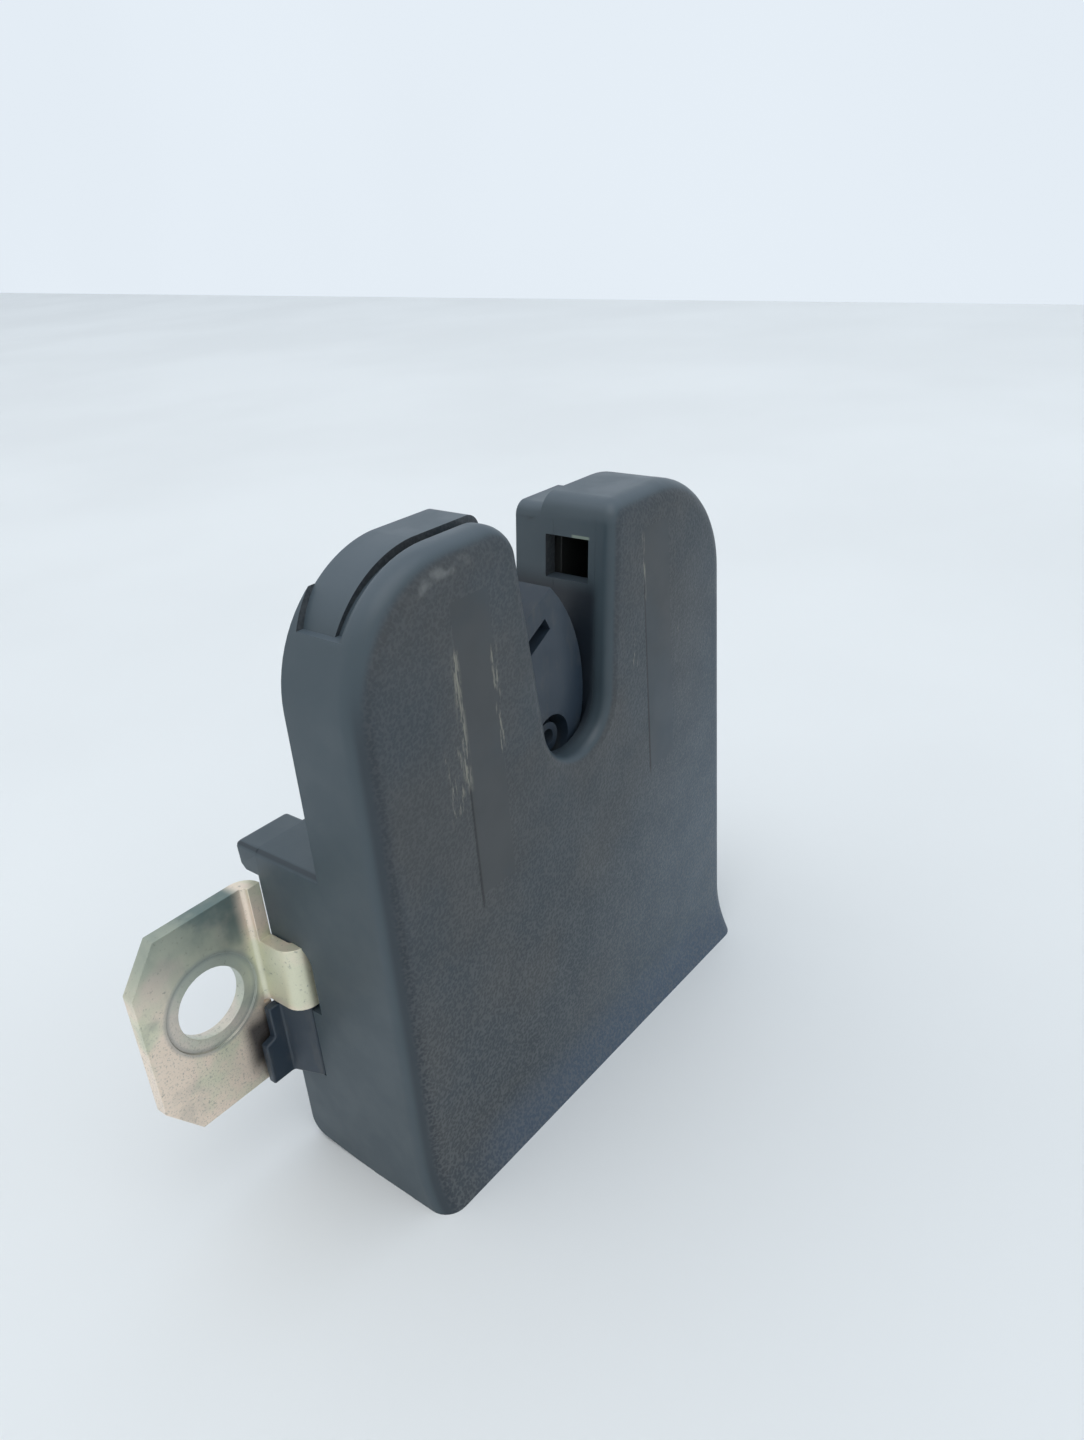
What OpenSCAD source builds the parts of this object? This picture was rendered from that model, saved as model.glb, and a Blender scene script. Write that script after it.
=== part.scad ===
// Boot latch: moulded cover, bent steel base plate, rotary catch, pawl and release lever.
// Millimetres. X to the right, Y to the back, Z up. The origin lies midway between the two
// ear holes, on the face that is bolted to the car body.

/* [Front cover] */
// Width of the cover
cover_w = 69; // [66:0.5:76]
// Room between the catch's rim and the left lobe's top wall
lobe_room = 3.1; // [2.6:0.1:6]
// How much lower the right lobe stands
right_drop = 3.4; // [0:0.1:4]
// Wall thickness of the cover
cover_wall = 2.2; // [1.6:0.1:2.4]
// Radius of the outer top corners
corner_r = 15; // [10:0.5:17]
// Rounding of the front edges
edge_r = 2.8; // [1:0.1:4]
// Front face to the rear edge of the upper side walls
upper_depth = 11.2; // [10:0.1:13]
// Front face to the rear edge of the lower side walls
lower_depth = 22.1; // [21:0.1:23]
// Forward reach of the bottom lip
lip_out = 2; // [0.5:0.1:4]
// Height over which the bottom lip flares
lip_h = 8.5; // [4:0.5:14]

/* [Striker slot] */
// Radius of the slot's round bottom
slot_r = 6.3; // [5.5:0.1:7]
// Slope of each flank of the slot, in degrees
slot_slope = 6.4; // [2:0.2:8]
// Height of the slot's lowest point above the bottom edge
slot_floor_h = 47.9; // [46:0.1:50]
// Front face to the rear edge of the slot's lining
slot_depth = 14; // [12.5:0.1:15]
// Thickness of the slot's lining
lining = 1.8; // [1.2:0.1:2.2]
// Rounding of the slot's front edge
slot_edge_r = 1.6; // [0.6:0.1:2]
// Radius of the left lobe's corner beside the slot
left_mouth_r = 5.5; // [2:0.5:7]
// Radius of the right lobe's corner beside the slot
right_mouth_r = 3; // [2:0.5:7]

/* [Base plate and ears] */
// Distance between the two ear holes
ear_span = 87.2; // [84:0.2:96]
// Diameter of the ear holes
hole_d = 9; // [6:0.5:10]
// Height of the ear holes above the cover's bottom edge
hole_h = 28.6; // [27:0.1:30]
// Front face to the bolted face of the ears
mount_depth = 24.9; // [24:0.1:26]
// Thickness of the steel sheet
sheet = 1.8; // [1.4:0.1:2]
// Ear hole to the ear's outer edge
ear_out = 9.1; // [8:0.1:12]
// Ear hole up to the ear's top edge
ear_up = 12.2; // [10:0.1:13]
// Ear hole down to the ear's bottom edge
ear_down = 15.4; // [14:0.1:17]
// Width of the chamfers on the ear's outer corners
ear_chamfer = 4; // [1:0.1:5]

/* [Catch] */
// Pivot to the left of the slot's middle
catch_left = 13.8; // [13:0.1:14.5]
// Pivot above the slot's lowest point
catch_rise = 7.7; // [7:0.1:8.5]
// Front face to the front of the catch
catch_set = 4; // [3.9:0.05:4.2]
// Thickness of the catch
catch_t = 5.2; // [4.5:0.1:5.5]
// Radius of the catch's pivot
catch_pin_r = 4; // [3:0.1:4.4]
// Width of the throat that takes the striker
throat_w = 9.6; // [8:0.1:10]
// Slope of the throat when the catch is open, in degrees
throat_a = 28; // [24:1:32]
// Turn of the catch from open to closed, in degrees
catch_turn = 50; // [40:1:52]

/* [Pawl and release] */
// Length of the pawl from pivot to tooth
pawl_len = 29; // [27:0.1:30]
// Thickness of the pawl
pawl_t = 3; // [2.4:0.1:3.2]
// Radius of the pawl's pivot
pawl_pin_r = 3; // [2:0.1:3.2]
// Pawl pivot to the stud that the lever pushes
stud_out = 14; // [13:0.1:15]
// Radius of the stud
stud_r = 2; // [1.5:0.1:2.2]
// Length of the lever's finger
lever_len = 19.2; // [18:0.1:20]
// Thickness of the lever
lever_t = 2; // [1.6:0.1:2.4]
// Radius of the lever's pivot
lever_pin_r = 2.5; // [2:0.1:3]
// Lever pivot down to the rod eye
rod_drop = 21; // [19:0.5:22]
// Radius of the bore that takes the release rod
rod_r = 2; // [1.5:0.1:2.4]
// Turn of the release lever, in degrees
lever_turn = 14; // [10:1:15]

/* [Hidden] */
$fn = 64;

// Colours
plastic = "#26292b";
plastic_smooth = "#2b2f33";
zinc = "#b3ad8f";
steel = "#9a9da0";
rubber = "#1b1b1c";
nylon = "#c9c5b6";

// Clearances
run_gap = 0.3;
pin_gap = 0.05;
fit_gap = 0.4;
snug = 0.02;

// Levels along Y
face_y = -mount_depth;
inside_y = face_y + cover_wall;
upper_y = face_y + upper_depth;
lower_y = face_y + lower_depth;
slot_y = face_y + slot_depth;
catch_y0 = face_y + catch_set;
catch_y1 = catch_y0 + catch_t;
panel_y0 = catch_y1 + run_gap;
panel_y1 = panel_y0 + sheet;
pawl_y1 = panel_y0 - run_gap;
pawl_y0 = pawl_y1 - pawl_t;
lever_y0 = panel_y1 + run_gap;
lever_y1 = lever_y0 + lever_t;
housing_t = 2;
housing_y0 = lower_y - housing_t;

// Heights
floor_z = -hole_h;
slot_z = floor_z + slot_floor_h + slot_r;
shelf_gap = 0.9;
shelf_z = floor_z + slot_floor_h - lining - shelf_gap;
half_w = cover_w / 2;
inner_w = half_w - cover_wall;

// Catch: pivot, rim and throat, with the throat's offsets taken square to its slope
catch_at = [-catch_left, slot_z - slot_r + catch_rise];
slot_room = 0.5;
catch_r = catch_left + slot_r - slot_room;
top_z = catch_at.y + catch_r + lobe_room + cover_wall;
hub_r = catch_pin_r + 5.5;
throat_low = 4.9;
throat_high = throat_low + throat_w;
throat_end = 8.5;
sweep_r = catch_r + slot_room + 0.1;
tooth_a = -98;
notch_a = tooth_a + catch_turn;
rim_end_a = tooth_a - 5;
peg_out = 9.5;
peg_a = 200;
peg_r = 1.6;

// Pawl: its pivot stands square to the catch's radius at the tooth
tooth_at = catch_at + (catch_r + run_gap) * dir(tooth_a);
pawl_at = tooth_at + pawl_len * dir(tooth_a + 90);
stud_a = 176.7;
stud_at = pawl_at + stud_out * dir(stud_a);
pawl_lead = 1.03;
pawl_turn = pawl_lead * lever_turn * lever_len / stud_out;

// Release lever: the finger lies just above the stud
lever_at = [stud_at.x - lever_len, stud_at.y + stud_r + run_gap - 0.7];
rod_at = lever_at + [3, -rod_drop];
rod_wall = 1.6;

// Screws, bosses and posts
screw_r = 1.7;
screw_head_r = 3.2;
screw_head_h = 2;
screw_reach = 5.5;
screw_slot = 0.4;
boss_r = 3.6;
screw_low = [half_w - 8.5, floor_z + 4.6];
screw_at = [[-screw_low.x, screw_low.y], screw_low, [half_w - 13.5, top_z - right_drop - 12.4]];
post_at = [[inner_w - 5, shelf_z - 6.5], rod_at + [14, 1], [inner_w - 4, -11]];
post_r = 2.5;

// Springs
wire_gap = 0.1;
leg_over = 2;
spring_gap = 0.2;
catch_wire = 0.6;
catch_shank_r = catch_pin_r - 0.9;
catch_coil = catch_shank_r + catch_wire + 0.3;
catch_spring_h = 2 * (2 * catch_wire + wire_gap) + 2 * catch_wire;
pawl_wire = 0.5;
pawl_coil = pawl_pin_r + 1.4;
lever_wire = 0.5;
lever_coil = lever_pin_r + 1.6;
spring_peg_r = 1.5;
catch_peg_out = 12;
catch_peg_at = catch_at + catch_peg_out * dir(100);
pawl_peg_out = 11;
pawl_peg_at = pawl_at + pawl_peg_out * dir(-40);
lever_peg_out = 7.5;
lever_peg_at = lever_at + lever_peg_out * dir(125);
lever_tab_out = 11;
lever_tab_at = lever_at + lever_tab_out * dir(-80);

// Base plate: arm, riser and ear
ear_x = ear_span / 2;
arm_low = -4.2;
arm_high = 4.7;
arm_y = -mount_depth + 17.7;
arm_x = inner_w - 2.8;
riser_x = half_w + 1;
bend_r = 1.6;
stub = 0.1;

function dir(a) = [cos(a), sin(a)];
function arc(c, r, a0, a1, n) = [for (i = [0:n]) c + r * dir(a0 + (a1 - a0) * i / n)];
function backward(list) = [for (i = [len(list) - 1:-1:0]) list[i]];

// Front outline of the cover, drawn inwards by d, with rows up the sides for the lip
lip_rows = 6;
corner_steps = 14;
function rows_z(bottom) = [for (i = [0:lip_rows]) bottom + (floor_z + lip_h - bottom) * i / lip_rows];
function outline(d, bottom) = concat(
    [for (z = rows_z(bottom)) [-half_w + d, z]],
    arc([-half_w + corner_r, top_z - corner_r], corner_r - d, 180, 90, corner_steps),
    [[-slot_r / 2, top_z - d], [slot_r / 2, top_z - right_drop - d]],
    arc([half_w - corner_r, top_z - right_drop - corner_r], corner_r - d, 90, 0, corner_steps),
    [for (z = backward(rows_z(bottom))) [half_w - d, z]]);

// Tapered U of the slot, drawn outwards by d, from the right flank down and up the left one
function slot_outline(d, top) =
    let (run = (top - slot_z) / cos(slot_slope) + (slot_r + d) * tan(slot_slope),
         right = [0, slot_z] + (slot_r + d) * dir(-slot_slope),
         flank = run * [sin(slot_slope), cos(slot_slope)])
    concat([right + flank], arc([0, slot_z], slot_r + d, -slot_slope, slot_slope - 180, 24),
           [[-right.x - flank.x, right.y + flank.y]]);

function lip(z) = lip_out * pow(max(0, 1 - (z - floor_z) / lip_h), 2);
function ring(points, y, lip_share) = [for (p = points) [p.x, y - lip_share * lip(p.y), p.y]];

// Solid between rings that run clockwise seen from the front; rows split the caps across
module loft(rings, rows) {
    m = len(rings[0]);
    last = (len(rings) - 1) * m;
    points = [for (r = rings) each r];
    front = concat([for (i = [0:1:rows - 1]) [i, i + 1, m - 2 - i, m - 1 - i]],
                   [[for (i = [rows:m - 1 - rows]) i]]);
    rear = [for (f = front) [for (i = backward(f)) last + i]];
    sides = [for (k = [0:len(rings) - 2], i = [0:m - 1])
        let (a = k * m + i, b = k * m + (i + 1) % m)
        each [[a, a + m, b + m], [a, b + m, b]]];
    polyhedron(points, concat(front, sides, rear));
}

// Front-view shape given a depth between two Y levels
module slab(y0, y1) {
    translate([0, y1, 0]) rotate([90, 0, 0]) linear_extrude(y1 - y0) children();
}

module pin(at, r, y0, y1) {
    translate([at.x, y0, at.y]) rotate([-90, 0, 0]) cylinder(h = y1 - y0, r = r);
}

module block(low, high) {
    translate(low) cube(high - low);
}

module both_sides() {
    children();
    mirror([1, 0, 0]) children();
}

// Round wire swept along a path that never runs along Y
module wire(path, r) {
    sides = 10;
    last = len(path) - 1;
    function along(i) = path[min(i + 1, last)] - path[max(i - 1, 0)];
    rings = [for (i = [0:last])
        let (t = along(i) / norm(along(i)), across = cross(t, [0, 1, 0]),
             n = across / norm(across), b = cross(t, n))
        [for (k = [0:sides - 1]) path[i] + r * (cos(360 * k / sides) * n + sin(360 * k / sides) * b)]];
    points = [for (g = rings) each g];
    skin = [for (i = [0:last - 1], k = [0:sides - 1]) let (j = (k + 1) % sides)
        [i * sides + k, (i + 1) * sides + k, (i + 1) * sides + j, i * sides + j]];
    first_cap = [for (k = [0:sides - 1]) k];
    last_cap = [for (k = [sides - 1:-1:0]) last * sides + k];
    polyhedron(points, concat([first_cap], skin, [last_cap]));
}

// Angle at which a straight leg, tangent to the coil, passes a peg at the distance k
function leg_lean(coil, k, reach) = asin((coil + k) / reach);

// Torsion spring: the first leg pushes its peg forward round the coil, the last leg pushes its peg back
module torsion_spring(at, y0, coil, r, turns, first_peg, last_peg, first_r, last_r) {
    pitch = 2 * r + wire_gap;
    a = first_peg - at;
    b = last_peg - at;
    start = atan2(a.y, a.x) - 270 - leg_lean(coil, r + first_r + 0.05, norm(a));
    stop_raw = atan2(b.y, b.x) + leg_lean(coil, r + last_r + 0.05, norm(b)) - 90;
    sweep = 360 * turns + ((stop_raw - start) % 360 + 360) % 360;
    steps = ceil(sweep / 20);
    function on_coil(i) = let (g = start + sweep * i / steps, p = at + coil * dir(g))
        [p.x, y0 + r + pitch * sweep / 360 * i / steps, p.y];
    function lead(g, length) = let (u = length * dir(g + 90)) [u.x, 0, u.y];
    function leg(p) = sqrt(p * p - coil * coil) + leg_over;
    path = concat([on_coil(0) - lead(start, leg(a))], [for (i = [0:steps]) on_coil(i)],
                  [on_coil(steps) + lead(start + sweep, leg(b))]);
    wire(path, r);
}

// Cover

strip_in = 14.5;
strip_w = 5.9;
strip_low = shelf_z - 6.3;
strip_top_gap = 5.9;
strip_high = top_z - strip_top_gap;
strip_step = 0.2;
recess_d = 1;
recess_rear = 1.2;
recess_front = 4.6;
window_low = slot_z + 13.5;
window_high = slot_z + 19.1;
window_front = face_y + 3;
window_rear = face_y + 9.2;
notch_front = arm_y - sheet / 2 - 1.2;
notch_low = -17.4;
notch_high = arm_high + 0.7;
notch_r = 2.6;
lug_out = 3.9;
lug_h = 3.6;
lug_w = 8;
heel_r = 3;

module cover_skin() {
    round_steps = 6;
    rounding = [for (j = [0:round_steps]) let (a = 90 * j / round_steps)
        ring(outline(edge_r * (1 - sin(a)), floor_z), face_y + edge_r * (1 - cos(a)), 1)];
    loft(concat(rounding, [ring(outline(0, floor_z), upper_y, 0)]), lip_rows);
    block([-half_w, upper_y - 0.5, floor_z], [half_w, lower_y, shelf_z]);
    both_sides() block([half_w - lug_w, lower_y - 0.5, shelf_z - lug_h],
                       [half_w, lower_y + lug_out, shelf_z]);
}

module cover_hollow() {
    below = floor_z - 1;
    slab(inside_y, upper_y + 1) polygon(outline(cover_wall, below));
    block([-inner_w, upper_y - 1, below], [inner_w, lower_y + 1, shelf_z - cover_wall]);
}

module slot_cutter() {
    round_steps = 5;
    above = top_z + 5;
    mouth = [for (j = [0:round_steps]) let (a = 90 * j / round_steps)
        ring(slot_outline(slot_edge_r * (1 - sin(a)), above), face_y + slot_edge_r * (1 - cos(a)), 0)];
    loft(concat([ring(slot_outline(slot_edge_r, above), face_y - 1, 0)], mouth,
                [ring(slot_outline(0, above), slot_y + 1, 0)]), 0);
}

// Corner taken off a lobe where its top meets the slot
module mouth_corner(side, top, r) {
    edge = slot_outline(0, top - r)[0].x;
    slab(face_y - 1, slot_y + 1) difference() {
        translate([side > 0 ? edge - 2 : -edge - r, top - r]) square([r + 2, r + 1]);
        translate([side * (edge + r), top - r]) circle(r);
    }
}

// Gap in the slot's lining that the catch turns through
module catch_room() {
    intersection() {
        pin(catch_at, sweep_r, catch_y0 - 0.5, panel_y0 + run_gap);
        block([catch_at.x, face_y, floor_z], [half_w, slot_y, top_z]);
    }
}

// Shallow channel over the outside of a lobe, from near the slot to the outer corner's shoulder
module lobe_recess(side, top) {
    c = [half_w - corner_r, top - corner_r];
    start = strip_in - 3;
    band = concat([[start, top + 1]], arc(c, corner_r + 1, 90, 40, 10),
                  backward(arc(c, corner_r - recess_d, 90, 40, 10)), [[start, top - recess_d]]);
    slab(face_y + recess_front, upper_y - recess_rear) polygon([for (p = band) [side * p.x, p.y]]);
}

// Gap in the rear edge of a side wall, seen from the side as Y and Z
module side_notch() {
    c = [notch_front + notch_r, notch_high - notch_r];
    shape = concat([[lower_y + 1, notch_low], [notch_front, notch_low]], arc(c, notch_r, 180, 90, 6),
                   [[lower_y + 1, notch_high]]);
    translate([inner_w - 1, 0, 0]) rotate([90, 0, 90]) linear_extrude(cover_wall + 2) polygon(shape);
}

// Rounded lower rear corner of a side wall
module heel_cut() {
    translate([inner_w - 1, lower_y - heel_r, floor_z + heel_r]) rotate([0, 90, 0]) difference() {
        cube([heel_r + 1, heel_r + 1, cover_wall + 2]);
        translate([0, 0, -1]) cylinder(h = cover_wall + 4, r = heel_r);
    }
}

module front_cover() {
    color(plastic) difference() {
        union() {
            difference() {
                cover_skin();
                cover_hollow();
            }
            intersection() {
                slab(face_y + edge_r, slot_y) polygon(slot_outline(lining, top_z));
                slab(face_y, slot_y) polygon(outline(edge_r / 2, floor_z));
            }
            for (s = screw_at) pin(s, boss_r, inside_y - 0.5, panel_y0);
            pin(pawl_peg_at, spring_peg_r, inside_y - 0.5, pawl_y0 - run_gap);
        }
        slot_cutter();
        mouth_corner(-1, top_z, left_mouth_r);
        mouth_corner(1, top_z - right_drop, right_mouth_r);
        catch_room();
        lobe_recess(-1, top_z);
        lobe_recess(1, top_z - right_drop);
        block([slot_r, window_front, window_low], [slot_r + 2 * lining + 2.4, window_rear, window_high]);
        both_sides() side_notch();
        both_sides() heel_cut();
        both_sides() block([strip_in, face_y - 1, strip_low],
                           [strip_in + strip_w, face_y + strip_step, strip_high]);
        for (s = screw_at) pin(s, screw_r - 0.2, panel_y0 - screw_reach - 0.5, panel_y0 + 1);
    }
}

// Rear housing with a window for the release rod and a hook through each side notch

clip_wall = 1.3;
clip_out = half_w + 5.4;
clip_front = lower_y - 3.2;
clip_rear = -sheet - fit_gap;
clip_top = arm_low - fit_gap;
clip_low = notch_low + 0.6;

module side_clip() {
    rib_x = half_w + 0.3;
    block([inner_w - 3, housing_y0, clip_low], [rib_x + clip_wall, clip_rear, clip_top]);
    block([inner_w - 3, clip_front - 1.5, clip_low + 2], [rib_x + clip_wall, clip_rear, clip_top]);
    block([rib_x, clip_front, clip_top - clip_wall], [clip_out, clip_rear, clip_top]);
    block([clip_out - clip_wall, clip_front, clip_low + 2.2], [clip_out, clip_rear, clip_top]);
    block([rib_x, clip_rear - clip_wall, clip_low + 2.2], [clip_out, clip_rear, clip_top]);
}

module rear_housing() {
    wide = inner_w - fit_gap;
    high = shelf_z - cover_wall - fit_gap;
    rim = 1.9;
    rod_room = 8;
    color(plastic_smooth) difference() {
        union() {
            block([-wide, housing_y0, floor_z + 1.5], [wide, lower_y, high]);
            both_sides() side_clip();
            for (p = post_at) pin(p, post_r, panel_y1, housing_y0 + 0.5);
        }
        block([rim - wide, housing_y0 - 1, rod_at.y + rim - rod_room],
              [rod_at.x + rod_room, lower_y + 1, rod_at.y + rod_room]);
    }
}

// Base plate

// One side of a folded strip: its middle line with every corner rounded, moved sideways by h
function fold_side(path, h) = let (last = len(path) - 1,
        u = [for (i = [0:last - 1]) (path[i + 1] - path[i]) / norm(path[i + 1] - path[i])],
        n = [for (d = u) [-d.y, d.x]])
    concat([path[0] + h * n[0]],
        [for (i = [1:1:last - 1]) let (turn = n[i - 1] * u[i], r = bend_r - h * turn,
                c = path[i] + bend_r * (u[i] - u[i - 1]))
            for (k = [0:6]) c + r * (sin(15 * k) * u[i - 1] - cos(15 * k) * u[i])],
        [path[last] + h * n[last - 1]]);

module folded(path, low, high) {
    translate([0, 0, low]) linear_extrude(high - low)
        polygon(concat(fold_side(path, sheet / 2), backward(fold_side(path, -sheet / 2))));
}

ear_mid_y = -sheet / 2;
panel_mid_y = panel_y0 + sheet / 2;
ear_root = riser_x + bend_r;
ear_edge = ear_x + ear_out;
ear_chamfer_h = ear_chamfer + 1.4;
coin_r = hole_d / 2 + 1.7;
coin_d = 0.25;

module ear_and_arm() {
    folded([[arm_x - 5, panel_mid_y], [arm_x, panel_mid_y], [arm_x, arm_y], [riser_x, arm_y],
            [riser_x, ear_mid_y], [ear_root + 1, ear_mid_y]], arm_low, arm_high);
    folded([[riser_x, ear_mid_y - bend_r - stub], [riser_x, ear_mid_y], [ear_root + 1, ear_mid_y]],
           arm_low, ear_up);
    slab(-sheet, 0) polygon([[ear_root, ear_up], [ear_edge - ear_chamfer, ear_up],
        [ear_edge, ear_up - ear_chamfer_h], [ear_edge, ear_chamfer_h - ear_down],
        [ear_edge - ear_chamfer, -ear_down], [ear_root - 1, -ear_down],
        [ear_root - 1, arm_low - 0.5], [ear_root, arm_low - 0.5]]);
}

module panel() {
    relief = 1;
    difference() {
        slab(panel_y0, panel_y1) polygon(outline(cover_wall + fit_gap, floor_z + 1));
        slab(panel_y0 - 1, panel_y1 + 1) polygon(slot_outline(lining + run_gap, top_z + 5));
        both_sides() block([arm_x - 2, panel_y0 - 1, arm_low - relief],
                           [half_w, panel_y1 + 1, arm_high + relief]);
        pin(catch_at, catch_pin_r + snug, panel_y0 - 1, panel_y1 + 1);
        pin(pawl_at, pawl_pin_r + snug, panel_y0 - 1, panel_y1 + 1);
        pin(lever_at, lever_pin_r + snug, panel_y0 - 1, panel_y1 + 1);
        for (p = [catch_peg_at, lever_peg_at]) pin(p, spring_peg_r + snug, panel_y0 - 1, panel_y1 + 1);
        pin(stop_at, stop_pin_r + snug, panel_y0 - 1, panel_y1 + 1);
        for (s = screw_at) pin(s, screw_r + 0.2, panel_y0 - 1, panel_y1 + 1);
        peg_track();
        stud_window();
    }
}

// Curved opening that the catch's peg runs in
module peg_track() {
    spare = 5;
    half = peg_r + fit_gap;
    track = concat(arc(catch_at, peg_out + half, peg_a + spare + 6, peg_a - catch_turn - spare - 6, 20),
                   arc(catch_at, peg_out - half, peg_a - catch_turn - spare - 6, peg_a + spare + 6, 20));
    slab(panel_y0 - 1, panel_y1 + 1) polygon(track);
}

module stud_window() {
    room = stud_r + 0.6;
    low = pawl_at.y + stud_out * sin(stud_a + pawl_turn) - room;
    slab(panel_y0 - 1, panel_y1 + 1) translate([stud_at.x - room, low])
        square([2 * room + 0.8, stud_at.y + room - low]);
}

// Small flange beside the slot's window, bent forward from the panel
module guide_flange() {
    x = slot_outline(lining + fit_gap, window_high)[0].x + 0.6;
    top = top_z - right_drop - cover_wall - fit_gap;
    block([x, window_front, window_high - 0.9], [x + 1.5, panel_y0 + 0.5, top]);
}

module base_plate() {
    color(zinc) difference() {
        union() {
            panel();
            guide_flange();
            both_sides() ear_and_arm();
        }
        both_sides() pin([ear_x, 0], hole_d / 2, -sheet - 1, 1);
        both_sides() pin([ear_x, 0], coin_r, -sheet - 1, -sheet + coin_d);
    }
}

module plate_screws() {
    color(steel) for (s = screw_at) difference() {
        union() {
            pin(s, screw_r - 0.25, panel_y0 - screw_reach, panel_y1 + 0.5);
            pin(s, screw_head_r, panel_y1, panel_y1 + screw_head_h);
        }
        for (cross = [[screw_head_r - 1, screw_slot], [screw_slot, screw_head_r - 1]])
            block([s.x - cross.x, panel_y1 + 1.2, s.y - cross.y],
                  [s.x + cross.x, panel_y1 + screw_head_h + 1, s.y + cross.y]);
    }
}

module spring_pegs() {
    color(steel) {
        pin(catch_peg_at, spring_peg_r, panel_y0, panel_y1 + catch_spring_h + 1.2);
        pin(lever_peg_at, spring_peg_r, panel_y0, ring_y + ring_t);
    }
}

// Catch

pocket_at = catch_at + 14.2 * dir(-26);
pocket_r = 3.2;
slit_low = throat_low - 4.2;
slit_w = 1.8;
back_a = 110;
stop_pin_r = 1.5;
stop_r = 3;
stop_at = catch_at + [-hub_r - stop_r + 1, 11];

// Plan of the catch: rim, hub and back edge less the throat, the ratchet notch and the slit
module catch_plan() {
    difference() {
        union() {
            translate(catch_at) circle(hub_r);
            polygon(concat(arc(catch_at, catch_r, rim_end_a, back_a, 60), [catch_at + hub_r * dir(165)],
                           [catch_at + hub_r * dir(230)]));
        }
        translate(catch_at) rotate(throat_a) {
            translate([throat_end, (throat_low + throat_high) / 2]) circle(throat_w / 2);
            translate([throat_end, throat_low]) square([catch_r, throat_w]);
            translate([catch_r - 9.5, slit_low]) square([6, slit_w]);
        }
        translate(catch_at) rotate(notch_a) translate([catch_r - 3, -1.5]) square([6, 5.5]);
        translate(catch_at) circle(catch_pin_r + pin_gap);
    }
}

module catch() {
    color(plastic_smooth) difference() {
        union() {
            slab(catch_y0, catch_y1) catch_plan();
            pin(catch_at + peg_out * dir(peg_a), peg_r, catch_y1 - 1, panel_y1 + catch_spring_h + spring_gap);
        }
        difference() {
            pin(pocket_at, pocket_r, catch_y0 - 1, catch_y0 + 3);
            pin(pocket_at, pocket_r - 1.2, catch_y0 + 0.8, catch_y0 + 4);
        }
        pin(pocket_at, 1.1, catch_y0 - 1, catch_y0 + 3);
    }
}

module catch_pivot() {
    rear_y = panel_y1 + catch_spring_h + 2 * spring_gap;
    color(steel) {
        pin(catch_at, catch_pin_r, catch_y0 - run_gap, panel_y1);
        pin(catch_at, catch_shank_r, panel_y1 - 0.5, rear_y);
        pin(catch_at, catch_pin_r + 0.9, catch_y0 - run_gap - 1, catch_y0 - run_gap);
        pin(catch_at, catch_coil + catch_wire, rear_y, rear_y + 1);
    }
}

module catch_spring() {
    color(steel) torsion_spring(catch_at, panel_y1 + spring_gap, catch_coil, catch_wire, 1,
                                catch_at + peg_out * dir(peg_a), catch_peg_at, peg_r, spring_peg_r);
}

module stop_peg() {
    color(steel) {
        pin(stop_at, stop_pin_r, catch_y0 + 0.4, panel_y1);
        pin(stop_at, stop_pin_r + 1, panel_y1, panel_y1 + 0.8);
    }
}

module catch_stop() {
    color(rubber) difference() {
        pin(stop_at, stop_r, catch_y0 + 0.6, panel_y0);
        pin(stop_at, stop_pin_r + snug, catch_y0, panel_y0 + 1);
    }
}

module striker_buffer() {
    buffer_y0 = panel_y0 + run_gap + 0.2;
    rise = 4.5;
    cradle_r = slot_r + 1.5;
    color(rubber) slab(buffer_y0, slot_y - 0.2) difference() {
        polygon(slot_outline(-snug, slot_z - slot_r + rise + 2));
        translate([0, slot_z - slot_r + rise + cradle_r - 1]) circle(cradle_r);
        translate([-slot_r * 2, slot_z - slot_r + rise]) square([slot_r * 4, 10]);
    }
}

// Pawl

pawl_hub_r = pawl_pin_r + 3;
pawl_arm = 6.4;
tooth_w = 4.4;

module pawl_plan() {
    difference() {
        union() {
            translate(pawl_at) circle(pawl_hub_r);
            translate(pawl_at) rotate(tooth_a + 90) {
                tip = -pawl_len - tooth_w / 2;
                translate([tip, -pawl_arm - 1.8]) square([-tip, pawl_arm]);
                translate([tip, -pawl_arm]) square([tooth_w, pawl_arm]);
            }
        }
        translate(catch_at) circle(catch_r + run_gap);
        translate(pawl_at) circle(pawl_pin_r + pin_gap);
        translate(stud_at) circle(stud_r + snug);
    }
}

module pawl() {
    color(steel) slab(pawl_y0, pawl_y1) pawl_plan();
}

module pawl_stud() {
    color(steel) pin(stud_at, stud_r, pawl_y0 - 2.6, lever_y1 + 1);
}

module pawl_pivot() {
    color(steel) {
        pin(pawl_at, pawl_pin_r, inside_y + run_gap, panel_y1);
        pin(pawl_at, pawl_pin_r + 1.5, panel_y1, panel_y1 + 1.2);
    }
}

module pawl_spring() {
    color(steel) torsion_spring(pawl_at, inside_y + 0.5, pawl_coil, pawl_wire, 1, pawl_peg_at, stud_at,
                                spring_peg_r, stud_r);
}

// Release lever

lever_hub_r = lever_pin_r + 3;
finger_h = 5;
eye_r = rod_r + rod_wall + 2.2;

module lever_plan() {
    difference() {
        union() {
            translate(lever_at) circle(lever_hub_r);
            translate([lever_at.x, stud_at.y + stud_r + run_gap]) square([lever_len + stud_r, finger_h]);
            translate(lever_at) rotate(atan2(rod_at.y - lever_at.y, rod_at.x - lever_at.x))
                translate([0, -lever_hub_r + 1.5]) square([rod_drop, 2 * lever_hub_r - 3]);
            translate(rod_at) circle(eye_r);
        }
        translate(lever_at) circle(lever_pin_r + pin_gap);
        translate(rod_at) circle(rod_r + rod_wall + snug);
    }
}

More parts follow.
